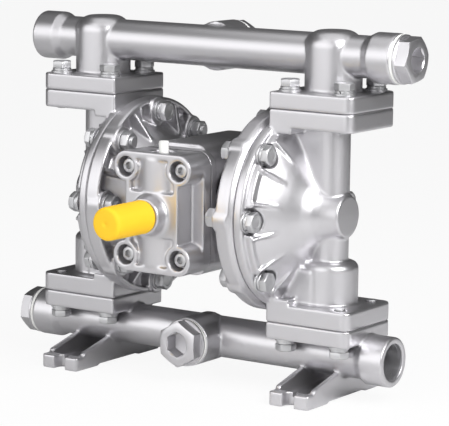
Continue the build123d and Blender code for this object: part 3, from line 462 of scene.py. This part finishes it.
def turned(name, profile, sides=48, ring=False):
    """A piece turned about Z: a circle is extruded from point to point of its profile (mm).

    A ring's profile ends where it starts, and its two end circles are joined there.
    """
    radius, height = profile[0]
    deselect()
    bpy.ops.mesh.primitive_circle_add(
        vertices=sides, radius=radius * MM, fill_type="NOTHING" if ring else "NGON",
        location=(0, 0, height * MM))
    obj = bpy.context.object
    obj.name = obj.data.name = name
    bpy.ops.object.transform_apply()
    bpy.ops.object.mode_set(mode="EDIT")
    bpy.ops.mesh.select_all(action="SELECT")
    for next_radius, next_height in profile[1:]:
        rise = (0, 0, (next_height - height) * MM)
        bpy.ops.mesh.extrude_region_move(TRANSFORM_OT_translate={"value": rise})
        scale = next_radius / radius
        bpy.ops.transform.resize(value=(scale, scale, 1), center_override=(0, 0, 0))
        radius, height = next_radius, next_height
    bpy.ops.mesh.select_all(action="SELECT")
    if ring:
        bpy.ops.mesh.remove_doubles(threshold=0.001 * MM)
    bpy.ops.mesh.normals_make_consistent(inside=False)
    bpy.ops.object.mode_set(mode="OBJECT")
    return obj


def smooth(obj, angle=35):
    """Smooth shading that keeps edges sharper than the angle."""
    pick(obj)
    bpy.ops.object.shade_smooth_by_angle(angle=math.radians(angle))
    return obj


def combine(obj, other, operation):
    """Boolean of two solids; the other one is used up."""
    modify(obj, "BOOLEAN", operation=operation, solver="EXACT", object=other)
    bpy.data.objects.remove(other)
    return obj


def softened(obj, width, segments=2):
    """Bevels every edge sharper than 30 degrees."""
    modify(obj, "BEVEL", width=width * MM, segments=segments, limit_method="ANGLE",
           angle_limit=math.radians(30))
    return obj


def hexagon(name, flats, height, chamfer, base=0.0, both=False):
    """Hexagon bar cut to a chamfered nut or head: the corners run out in arcs."""
    corner = flats / math.sqrt(3)
    top = base + height
    # the bar is left long, and the crown cuts it to length
    bar = turned(name, [(corner, base), (corner, top + 0.5)], sides=6)
    clear, land = corner * 1.01, flats * 0.475
    crown = [(clear, base), (clear, top - chamfer), (land, top)]
    if both:
        crown = [(land, base), (clear, base + chamfer)] + crown[1:]
    return combine(bar, turned(name + "_crown", crown, sides=48), "INTERSECT")


def socket(obj, flats, mouth, depth):
    """Hexagon socket with a short lead-in."""
    corner = flats / math.sqrt(3)
    key = turned("key", [(corner, mouth - depth), (corner, mouth + 1)], sides=6)
    combine(obj, key, "DIFFERENCE")
    ease = flats * 0.06
    lead = turned("lead", [(flats * 0.5, mouth - ease), (flats * 0.5 + ease * 2, mouth + ease)])
    return combine(obj, lead, "DIFFERENCE")


def copies(master, name, places):
    """One piece made of a copy of the master, with its own mesh, at each place."""
    made = []
    for place in places:
        copy = bpy.data.objects.new(name, master.data.copy())
        bpy.context.scene.collection.objects.link(copy)
        copy.data.transform(place)
        made.append(copy)
    deselect()
    for copy in made:
        copy.select_set(True)
    bpy.context.view_layer.objects.active = made[0]
    bpy.ops.object.join()
    made[0].name = made[0].data.name = name
    bpy.data.objects.remove(master)
    return made[0]


def solids(node):
    """Corners of each loose solid of a CAD node, as lists of points."""
    copy = merged_copy(node, node + "_apart")
    bpy.ops.object.mode_set(mode="EDIT")
    bpy.ops.mesh.select_all(action="SELECT")
    bpy.ops.mesh.separate(type="LOOSE")
    bpy.ops.object.mode_set(mode="OBJECT")
    apart = list(bpy.context.selected_objects)
    found = [[v.co.copy() for v in o.data.vertices] for o in apart]
    for obj in apart:
        bpy.data.objects.remove(obj)
    return sorted(found, key=lambda points: tuple(round(c, 4) for c in middle(points)))


def middle(points):
    """Middle of the box round the points."""
    lo = Vector([min(p[i] for p in points) for i in range(3)])
    hi = Vector([max(p[i] for p in points) for i in range(3)])
    return (lo + hi) / 2


def reach(points, axis):
    """Lowest and highest of the points along an axis."""
    along = [p[axis] for p in points]
    return min(along), max(along)


def place_along(center, axis, sign, start, turn):
    """Matrix that stands a piece made on +Z at start, pointing along sign times the axis."""
    direction = Vector([sign if i == axis else 0.0 for i in range(3)])
    seat = center.copy()
    seat[axis] = start
    spin = Matrix.Rotation(turn, 4, "Z")
    return Matrix.Translation(seat) @ direction.to_track_quat("Z", "Y").to_matrix().to_4x4() @ spin


def fastener_places(node, axis, head_radius):
    """For each fastener of a node: its place with the head's seat at the origin, and its length."""
    for index, points in enumerate(solids(node)):
        center = middle(points)
        low, high = reach(points, axis)
        others = [i for i in range(3) if i != axis]
        # the points that stand out past the shank belong to the head
        wide = [p[axis] for p in points
                if math.hypot(*(p[i] - center[i] for i in others)) > head_radius * MM]
        sign = 1 if sum(wide) / len(wide) > (low + high) / 2 else -1
        seat = min(wide) if sign > 0 else max(wide)
        tip = low if sign > 0 else high
        # each was tightened to its own angle
        turn = math.radians(37 * index % 60)
        yield place_along(center, axis, sign, seat, turn), abs(seat - tip) / MM


def bolt_master(name, length):
    """Hexagon bolt with its seat at the origin: washer face, arcs on the corners, rolled thread."""
    size = millimetres(settings().fastener)
    flats, top = size.hex_size, size.head
    head = hexagon(name, flats, top - size.face, size.chamfer, base=size.face)
    disc = turned("washer_face", [(flats * 0.46, 0), (flats * 0.46, size.face + 0.05)])
    combine(head, disc, "UNION")
    # forging leaves a shallow dish on the head
    dish = turned("dish", [(flats * 0.30, top - 0.25), (flats * 0.38, top + 0.5)])
    combine(head, dish, "DIFFERENCE")
    softened(head, 0.18)
    tip, root, point, run_in = -length, size.shank * 0.86, size.shank * 0.84, 0.8
    z = tip + run_in
    thread = [(point, tip), (size.shank, z)]
    while z < tip + size.threaded:
        thread += [(root, z + size.pitch / 2), (size.shank, z + size.pitch)]
        z += size.pitch
    thread.append((size.shank, 0.2))
    return joined(head, turned("shank", thread, sides=24))


def joined(obj, *others):
    """Makes one object of several, whose solids stay as they are."""
    deselect()
    for other in (obj, *others):
        other.select_set(True)
    bpy.context.view_layer.objects.active = obj
    bpy.ops.object.join()
    return obj


def cover_skirt(cover):
    """Bulging skirt that flares into the nose, turned about Z with its spot faces cut."""
    # radius and station: outside from the ring to the nose's end, inside back within the wall
    outside = [(cover.foot, cover.face), (cover.foot, 76.3), (57.0, 79.5), (52.0, 82.6),
               (46.5, 86.0), (40.5, 89.2), (34.5, 92.0), (29.8, 94.4), (26.4, 96.8),
               (23.6, 99.6), (20.6, 104.0), (18.2, 108.5), (16.4, 112.5), (15.4, 115.2),
               (14.4, 116.0)]
    inside = [(12.5, 115.5), (12.5, 102.0), (17.5, 98.5), (30.7, 92.0), (42.5, 82.0),
              (48.5, 74.0), (49.4, cover.face)]
    skirt = turned("cover_form", outside + inside + outside[:1], sides=96, ring=True)
    spot = turned("spot", [(cover.spot, cover.spot_floor), (cover.spot, cover.spot_mouth)],
                  sides=40)
    out = Matrix.Translation((cover.bolt_circle * MM, 0, 0))
    # the bolts at the top and the bottom go in from the air side and need no spot face
    around = [Matrix.Rotation(math.radians(a), 4, "Z") @ out for a in (45, 90, 135, 225, 270, 315)]
    return combine(skirt, copies(spot, "spots", around), "DIFFERENCE")


def cover_fins(cover):
    """Thin fins round the skirt, two beside each bolt."""
    deselect()
    bpy.ops.mesh.primitive_cube_add(
        size=1, location=(cover.fin_radius * MM, 0, cover.fin_station * MM),
        rotation=(0, cover.fin_slope, 0),
        scale=(cover.fin_length * MM, cover.fin * MM, cover.fin_depth * MM))
    bpy.ops.object.transform_apply()
    step = math.radians(360 / cover.fins)
    turns = [Matrix.Rotation(step * (i + 0.5), 4, "Z") for i in range(cover.fins)]
    return copies(bpy.context.object, "fins", turns)


def cover_elbow(cover, rod_height, column):
    """Elbow from the chamber to the valve cup, in its place, open where liquid and ball go."""
    long, tall = cover.elbow_end - cover.elbow_start, cover.elbow_top - cover.elbow_foot
    deselect()
    bpy.ops.mesh.primitive_cube_add(
        size=1, scale=(long * MM, cover.elbow * 2 * MM, tall * MM),
        location=((cover.elbow_start + long / 2) * MM, 0, (cover.elbow_foot + tall / 2) * MM))
    bpy.ops.object.transform_apply()
    elbow = softened(bpy.context.object, cover.elbow_edge, segments=3)
    past = 5.0
    way = turned("ball_way", [(cover.ball_way, cover.elbow_foot - past),
                              (cover.ball_way, cover.elbow_top + past)], sides=64)
    way.data.transform(Matrix.Translation((column, 0, 0)))
    combine(elbow, way, "DIFFERENCE")
    deselect()
    bpy.ops.mesh.primitive_uv_sphere_add(segments=96, ring_count=48, radius=cover.hollow * MM,
                                         location=(cover.hollow_station * MM, 0, rod_height))
    bpy.ops.object.transform_apply()
    return combine(elbow, bpy.context.object, "DIFFERENCE")


def cover_form():
    """The right-hand liquid chamber's skirt, nose flare, fins and elbow to the valve cup."""
    cover = millimetres(settings().cover)
    rod_height = middle(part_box("center_rod")).z
    column = middle(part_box("lower_right_ball")).x
    form = joined(cover_skirt(cover), cover_fins(cover))
    onto_rod = Matrix.Translation((0, 0, rod_height)) @ Matrix.Rotation(math.pi / 2, 4, "Y")
    form.data.transform(onto_rod)
    return joined(form, cover_elbow(cover, rod_height, column))


class PUMP_OT_castings(bpy.types.Operator):
    """Softens the castings' edges and inner corners as a mould leaves them"""

    bl_idname = "pump.castings"
    bl_label = "Castings"

    names = ("upper_manifold", "lower_manifold", "left_liquid_chamber", "right_liquid_chamber",
             "left_air_chamber", "right_air_chamber", "center_body", "valve_body")

    def execute(self, context):
        cast = millimetres(settings().casting)
        grain = cast.grain * 1
        for node in self.names:
            skin = merged_copy(node, node + "_casting")
            if "liquid_chamber" in node:
                form = cover_form()
                if node.startswith("left"):
                    form.data.transform(Matrix.Rotation(math.pi, 4, "Z"))
                joined(skin, form)
            modify(skin, "REMESH", mode="VOXEL", voxel_size=grain * MM)
            modify(skin, "SMOOTH", factor=0.5, iterations=cast.rounds)
            modify(skin, "DECIMATE", ratio=cast.keep)
            bpy.ops.object.shade_smooth()
            dress(skin, node)
        return {"FINISHED"}


class PUMP_OT_port_threads(bpy.types.Operator):
    """Cuts the pipe thread into the two open ports"""

    bl_idname = "pump.port_threads"
    bl_label = "Port threads"

    def execute(self, context):
        port = millimetres(settings().port)
        quarter = math.radians(90)
        for mount in frame["record"]["mounts"]:
            if mount["kind"] != "threaded_hole":
                continue
            # a three-sided ridge, most of it standing out of the bore's wall
            deselect()
            bpy.ops.mesh.primitive_circle_add(
                vertices=3, radius=port.depth / 1.5 * MM, fill_type="NOTHING",
                location=(0, 0, 0), rotation=(-quarter, 0, 0))
            ridge = bpy.context.object
            ridge.name = ridge.data.name = mount["name"] + "_thread"
            bpy.ops.object.transform_apply()
            ridge.data.transform(Matrix.Rotation(-quarter, 4, "Y"))
            root = mount["dims"]["r_mm"] - port.depth / 3
            ridge.data.transform(Matrix.Translation((root * MM, 0, 0)))
            modify(ridge, "SCREW", axis="Z", steps=40, render_steps=40, iterations=port.turns,
                   screw_offset=port.pitch * MM, use_merge_vertices=False)
            # the last turn ends 1.3 pitches inside the mouth
            axis = Vector(mount["axis"])
            start = Vector(mount["pos_m"]) - axis * (port.pitch * (port.turns + 1.3)) * MM
            turn = axis.to_track_quat("Z", "Y").to_matrix().to_4x4()
            ridge.data.transform(Matrix.Translation(start) @ turn)
            pick(ridge)
            bpy.ops.object.mode_set(mode="EDIT")
            bpy.ops.mesh.select_all(action="SELECT")
            bpy.ops.mesh.fill_holes(sides=3)
            bpy.ops.mesh.normals_make_consistent(inside=False)
            bpy.ops.object.mode_set(mode="OBJECT")
            smooth(ridge, 25)
            ridge.data.materials.append(finishes()["zinc_plated_steel"])
            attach(ridge, "housing")
        return {"FINISHED"}


class PUMP_OT_bolts(bpy.types.Operator):
    """Flange bolts, chamber bolts and the reversed chamber screws"""

    bl_idname = "pump.bolts"
    bl_label = "Bolts"

    def execute(self, context):
        clear_of_shank = millimetres(settings().fastener).shank + 1
        for node, axis in (("flange_bolts", 2), ("chamber_bolts", 0), ("chamber_screws", 0)):
            found = list(fastener_places(node, axis, clear_of_shank))
            master = bolt_master(node + "_one", found[0][1])
            group = copies(master, node + "_detailed", [place for place, length in found])
            dress(smooth(group), node)
        return {"FINISHED"}


class PUMP_OT_nuts(bpy.types.Operator):
    """Hexagon nuts on the chamber bolts"""

    bl_idname = "pump.nuts"
    bl_label = "Nuts"

    def execute(self, context):
        size = millimetres(settings().fastener)
        nut = hexagon("nut", size.hex_size, size.nut, size.chamfer, both=True)
        hole = turned("hole", [(size.shank, -1), (size.shank, size.nut + 1)], sides=32)
        combine(nut, hole, "DIFFERENCE")
        softened(nut, 0.15)
        places = []
        for index, points in enumerate(solids("chamber_nuts")):
            low, high = reach(points, 0)
            turn = math.radians(23 * index % 60)
            places.append(place_along(middle(points), 0, 1, low, turn))
        dress(smooth(copies(nut, "chamber_nuts_detailed", places)), "chamber_nuts")
        return {"FINISHED"}


class PUMP_OT_washers(bpy.types.Operator):
    """Flat washers and split spring washers under every head and nut"""

    bl_idname = "pump.washers"
    bl_label = "Washers"

    def execute(self, context):
        size = millimetres(settings().fastener)
        for node, spring in (("flat_washers", False), ("spring_washers", True)):
            places = []
            for index, points in enumerate(solids(node)):
                spans = [high - low for low, high in (reach(points, i) for i in range(3))]
                axis = spans.index(min(spans))
                low, high = reach(points, axis)
                places.append(place_along(middle(points), axis, 1, low,
                                          math.radians(53 * index % 360)))
            thick, outer = (high - low) / MM, max(spans) / 2 / MM
            inner = size.shank + size.washer_play
            edge, burr = 0.25 if spring else 0.15, 0.1
            washer = turned("washer", [
                (inner, burr), (inner + burr, 0), (outer - edge, 0), (outer, edge),
                (outer, thick - edge), (outer - edge, thick), (inner + burr, thick),
                (inner, thick - burr), (inner, burr)], sides=32, ring=True)
            if spring:
                deselect()
                bpy.ops.mesh.primitive_cube_add(
                    size=1, location=(outer * MM, 0, thick / 2 * MM),
                    scale=(outer * 1.4 * MM, size.washer_split * MM, thick * 3 * MM),
                    rotation=(math.radians(25), 0, 0))
                combine(washer, bpy.context.object, "DIFFERENCE")
            dress(smooth(copies(washer, node + "_detailed", places)), node)
        return {"FINISHED"}


class PUMP_OT_plugs(bpy.types.Operator):
    """Hexagon plugs of the four closed ports"""

    bl_idname = "pump.plugs"
    bl_label = "Plugs"

    # each plug's pipe, the axis that it points along, and the degrees it was tightened to
    plugs = {"upper_end_plug": ("upper_manifold", 0, 40),
             "lower_end_plug": ("lower_manifold", 0, 15),
             "upper_rear_plug": ("upper_manifold", 1, 0),
             "lower_front_plug": ("lower_manifold", 1, 0)}

    def execute(self, context):
        port = millimetres(settings().port)
        for node, (pipe, axis, degrees) in self.plugs.items():
            points = [v.co.copy() for v in nodes[node].data.vertices]
            center = middle(points)
            sign = 1 if center[axis] > middle(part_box(pipe))[axis] else -1
            low, high = reach(points, axis)
            tip = high if sign > 0 else low
            place = place_along(center, axis, sign, tip - sign * port.plug_height * MM,
                                math.radians(degrees))
            plug = self.plug(node + "_detailed", port)
            plug.data.transform(place)
            dress(smooth(plug), node)
        return {"FINISHED"}

    def plug(self, name, port):
        """Plug with its washer face at the origin: round collar, hexagon with a socket, thread."""
        tall, flange = port.plug_height, port.plug_collar
        sunk = 0.5
        plug = hexagon(name, port.plug_flats, tall - flange + sunk, 1.3, base=flange - sunk)
        rim, ease = port.plug_flats * 0.59, port.plug_flats * 0.04
        collar = turned("collar", [(rim - ease, 0), (rim, 0.4), (rim, flange - sunk),
                                   (rim - ease / 2, flange)], sides=64)
        combine(plug, collar, "UNION")
        socket(plug, port.plug_socket, tall, port.socket_depth)
        softened(plug, 0.35, segments=3)
        lead = 1.0
        thread = turned("thread", [
            (port.plug_thread - lead, -port.plug_reach),
            (port.plug_thread, lead - port.plug_reach), (port.plug_thread, 0.2)])
        return joined(plug, thread)


class PUMP_OT_valve_screws(bpy.types.Operator):
    """Socket screws of the air valve"""

    bl_idname = "pump.valve_screws"
    bl_label = "Valve screws"

    def execute(self, context):
        size = millimetres(settings().fastener)
        places = []
        for index, points in enumerate(solids("valve_screws")):
            low, high = reach(points, 1)
            places.append(place_along(middle(points), 1, -1, low, math.radians(19 * index % 60)))
        length = (high - low) / MM
        radius, under = size.screw_head, -size.screw_height
        # a small chamfer below and a rounded edge on top
        ease = 0.3
        head = turned("head", [
            (radius - ease, under), (radius, under + ease), (radius, -0.8), (radius - 0.2, -0.25),
            (radius - 0.7, 0)], sides=48)
        socket(head, size.screw_key, 0, size.screw_height / 2)
        shank = turned("shank", [(size.screw_shank, -length), (size.screw_shank, under + 0.1)],
                       sides=24)
        joined(head, shank)
        dress(smooth(copies(head, "valve_screws_detailed", places)), "valve_screws")
        return {"FINISHED"}


class PUMP_OT_inlet_cap(bpy.types.Operator):
    """Blow moulded cap on the air inlet"""

    bl_idname = "pump.inlet_cap"
    bl_label = "Inlet cap"

    def execute(self, context):
        cap = millimetres(settings().cap)
        lo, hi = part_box("inlet_cap")
        long = (hi.y - lo.y) / MM
        small = cap.radius - cap.taper
        # the mouth's rounded rim
        profile = [(cap.radius - cap.wall, 0), (cap.radius - cap.wall + 0.3, -0.1),
                   (cap.radius - 0.1, 0.0), (cap.radius, 0.5), (cap.radius - 0.15, 1.6)]
        profile += [(small, long - cap.edge - 4), (small, long - cap.edge)]
        steps = 6
        for step in range(1, steps + 1):
            angle = math.pi / 2 * step / steps
            profile.append((small - cap.edge * (1 - math.cos(angle)),
                            long - cap.edge * (1 - math.sin(angle))))
        # the end is flat but for the mark where it was cut from the mould
        profile += [(4.0, long - 0.05), (1.3, long - 0.1), (0.9, long - 0.4), (0.01, long - 0.45)]
        shell = turned("inlet_cap_moulded", profile, sides=72)
        self.hollow(shell, long - cap.end)
        center = Vector(((lo.x + hi.x) / 2, hi.y, (lo.z + hi.z) / 2))
        shell.data.transform(place_along(center, 1, -1, hi.y, 0))
        dress(smooth(shell, 40), "inlet_cap")
        return {"FINISHED"}

    def hollow(self, shell, depth):
        """Pushes the disc at the mouth in, up to the closed end."""
        pick(shell)
        bpy.ops.object.mode_set(mode="EDIT")
        bpy.ops.mesh.select_mode(type="FACE")
        bpy.ops.mesh.select_all(action="DESELECT")
        bpy.ops.object.mode_set(mode="OBJECT")
        for polygon in shell.data.polygons:
            polygon.select = len(polygon.vertices) > 4 and polygon.center.z < 1 * MM
        bpy.ops.object.mode_set(mode="EDIT")
        bpy.ops.mesh.extrude_region_move(TRANSFORM_OT_translate={"value": (0, 0, depth * MM)})
        bpy.ops.mesh.select_all(action="SELECT")
        bpy.ops.mesh.normals_make_consistent(inside=False)
        bpy.ops.object.mode_set(mode="OBJECT")


class PUMP_OT_small_parts(bpy.types.Operator):
    """Reset button, muffler, plug washers and the ends of the spool bore, with softened edges"""

    bl_idname = "pump.small_parts"
    bl_label = "Small parts"

    # width of each piece's softened edges, in millimetres
    edges = {"reset_button": 0.3, "muffler": 0.4, "plug_washers": 0.2, "retaining_rings": 0.1,
             "upper_end_cover": 0.25, "lower_end_cover": 0.25, "inlet_nipple": 0.25,
             "valve_gasket": 0.1}

    def execute(self, context):
        for node, width in self.edges.items():
            piece = merged_copy(node, node + "_eased")
            modify(piece, "DECIMATE", decimate_type="DISSOLVE", angle_limit=math.radians(1))
            softened(piece, width)
            dress(smooth(piece), node)
        return {"FINISHED"}


class PUMP_OT_inner_parts(bpy.types.Operator):
    """Finishes of the parts inside, which keep their shapes"""

    bl_idname = "pump.inner_parts"
    bl_label = "Inner parts"

    def execute(self, context):
        for node, obj in nodes.items():
            if not obj.hide_render:
                obj.data.materials.clear()
                obj.data.materials.append(finishes()[slot_of_node[node]])
        return {"FINISHED"}


class PUMP_OT_stage(bpy.types.Operator):
    """Pale floor, soft lamps and the camera"""

    bl_idname = "pump.stage"
    bl_label = "Stage"

    def execute(self, context):
        stage = settings().stage
        self.floor(stage)
        self.world(stage.air)
        self.key_lamp(stage)
        self.softbox("front_softbox", stage.front, stage.front_way, stage.front_size,
                     stage.front_above)
        self.softbox("side_softbox", stage.side, stage.side_way, stage.side_size, stage.middle)
        self.softbox("top_softbox", stage.top, stage.top_way, stage.top_size, stage.middle)
        self.camera(stage)
        context.scene.view_settings.view_transform = "Standard"
        return {"FINISHED"}

    def floor(self, stage):
        """White paper: much of what the camera sees of it is plain white, and gloss or glass see
        the share of white that is set.
        """
        deselect()
        bpy.ops.mesh.primitive_plane_add(size=40)
        floor = bpy.context.object
        floor.name = "floor"
        material, tree, shader = surface("white_paper")
        shader.inputs["Base Color"].default_value = (stage.paper, stage.paper, stage.paper, 1)
        shader.inputs["Roughness"].default_value = 0.9
        white = add(tree, "ShaderNodeEmission", Strength=1.0)
        rays = add(tree, "ShaderNodeLightPath")
        mirrored = add(tree, "ShaderNodeMath", {0: rays.outputs["Is Glossy Ray"],
                                                1: rays.outputs["Is Transmission Ray"]},
                       operation="MAXIMUM")
        gloss = add(tree, "ShaderNodeMath", {0: mirrored.outputs[0]}, operation="MULTIPLY")
        gloss.inputs[1].default_value = stage.gloss_white
        seen = add(tree, "ShaderNodeMath", {0: rays.outputs["Is Camera Ray"]}, operation="MULTIPLY")
        seen.inputs[1].default_value = stage.seen_white
        share = add(tree, "ShaderNodeMath", {0: gloss.outputs[0], 1: seen.outputs[0]},
                    operation="MAXIMUM")
        mix = add(tree, "ShaderNodeMixShader",
                  {0: share.outputs[0], 1: shader.outputs[0], 2: white.outputs[0]})
        tree.links.new(mix.outputs[0], tree.nodes["Material Output"].inputs["Surface"])
        floor.data.materials.append(material)

    def world(self, strength):
        """Plain dim room, the same in every direction."""
        world = bpy.data.worlds.new("studio")
        bpy.context.scene.world = world
        world.use_nodes = True
        back = world.node_tree.nodes["Background"]
        back.inputs["Color"].default_value = (1, 1, 1, 1)
        back.inputs["Strength"].default_value = strength

    def key_lamp(self, stage):
        """A broad, far light, so that the floor is lit evenly."""
        light = bpy.data.lights.new("key_lamp", "SUN")
        light.energy = stage.key
        light.angle = stage.key_spread
        self.hang(light, stage.key_way, stage.away, 0)

    def softbox(self, name, brightness, way, size, above):
        """A rectangular softbox that faces a point above the pump's foot."""
        light = bpy.data.lights.new(name, "AREA")
        light.shape = "RECTANGLE"
        light.size, light.size_y = size
        light.energy = math.pi * size[0] * size[1] * brightness
        self.hang(light, way, settings().stage.away, above)

    def hang(self, light, way, away, above):
        """Hangs a light in the way's azimuth and rise from a point above the pump's foot."""
        lamp = bpy.data.objects.new(light.name, light)
        bpy.context.scene.collection.objects.link(lamp)
        toward = self.toward(*way)
        lamp.location = toward * away + Vector((0, 0, above))
        lamp.rotation_euler = toward.to_track_quat("Z", "Y").to_euler()

    def toward(self, azimuth, rise):
        """Unit vector from the pump to something at this azimuth and rise."""
        return Vector((math.sin(azimuth) * math.cos(rise), -math.cos(azimuth) * math.cos(rise),
                       math.sin(rise)))

    def camera(self, stage):
        """Camera at the photograph's place, turned so that its picture keeps the same roll."""
        back = self.toward(stage.azimuth, stage.elevation)
        right = Vector((math.cos(stage.azimuth), math.sin(stage.azimuth), 0))
        up = back.cross(right)
        across = right * math.cos(stage.roll) + up * math.sin(stage.roll)
        upward = up * math.cos(stage.roll) - right * math.sin(stage.roll)
        camera = bpy.data.objects.new("camera", bpy.data.cameras.new("camera"))
        bpy.context.scene.collection.objects.link(camera)
        camera.data.lens = stage.lens
        camera.data.clip_start, camera.data.clip_end = 0.01, 100
        camera.rotation_mode = "QUATERNION"
        camera.rotation_quaternion = Matrix((across, upward, back)).transposed().to_quaternion()
        aim = right * stage.aim_right + Vector((0, 0, stage.aim_up))
        camera.location = aim + back * stage.distance
        bpy.context.scene.camera = camera


class PumpSettings(bpy.types.PropertyGroup):
    """All settings of the pump's dressing."""

    casting: PointerProperty(name="Castings", description="Softened edges", type=CastingSettings)
    cover: PointerProperty(name="Covers", description="Liquid chambers", type=CoverSettings)
    fastener: PointerProperty(name="Fasteners", description="Bolts, nuts, screws and washers",
                              type=FastenerSettings)
    port: PointerProperty(name="Ports", description="Threads and plugs", type=PortSettings)
    cap: PointerProperty(name="Cap", description="On the air inlet", type=CapSettings)
    finish: PointerProperty(name="Finishes", description="Colours", type=FinishSettings)
    stage: PointerProperty(name="Stage", description="Camera, lamps, floor", type=StageSettings)


OPERATORS = (PUMP_OT_castings, PUMP_OT_port_threads, PUMP_OT_bolts, PUMP_OT_nuts,
             PUMP_OT_washers, PUMP_OT_plugs, PUMP_OT_valve_screws, PUMP_OT_inlet_cap,
             PUMP_OT_small_parts, PUMP_OT_inner_parts, PUMP_OT_stage)


class PUMP_PT_dressing(bpy.types.Panel):
    """Lists the pump's pieces in the sidebar"""

    bl_label = "Diaphragm pump"
    bl_idname = "PUMP_PT_dressing"
    bl_space_type = "VIEW_3D"
    bl_region_type = "UI"
    bl_category = "Pump"

    def draw(self, context):
        for operator in OPERATORS:
            self.layout.operator(operator.bl_idname)


CLASSES = (CastingSettings, CoverSettings, FastenerSettings, PortSettings, CapSettings,
           FinishSettings, StageSettings, PumpSettings, *OPERATORS, PUMP_PT_dressing)


def register():
    for cls in CLASSES:
        bpy.utils.register_class(cls)
    bpy.types.Scene.pump = PointerProperty(type=PumpSettings)


def unregister():
    del bpy.types.Scene.pump
    for cls in reversed(CLASSES):
        bpy.utils.unregister_class(cls)


def main():
    register()
    for operator in OPERATORS:
        group, name = operator.bl_idname.split(".")
        getattr(getattr(bpy.ops, group), name)()


if __name__ == "__main__":
    main()
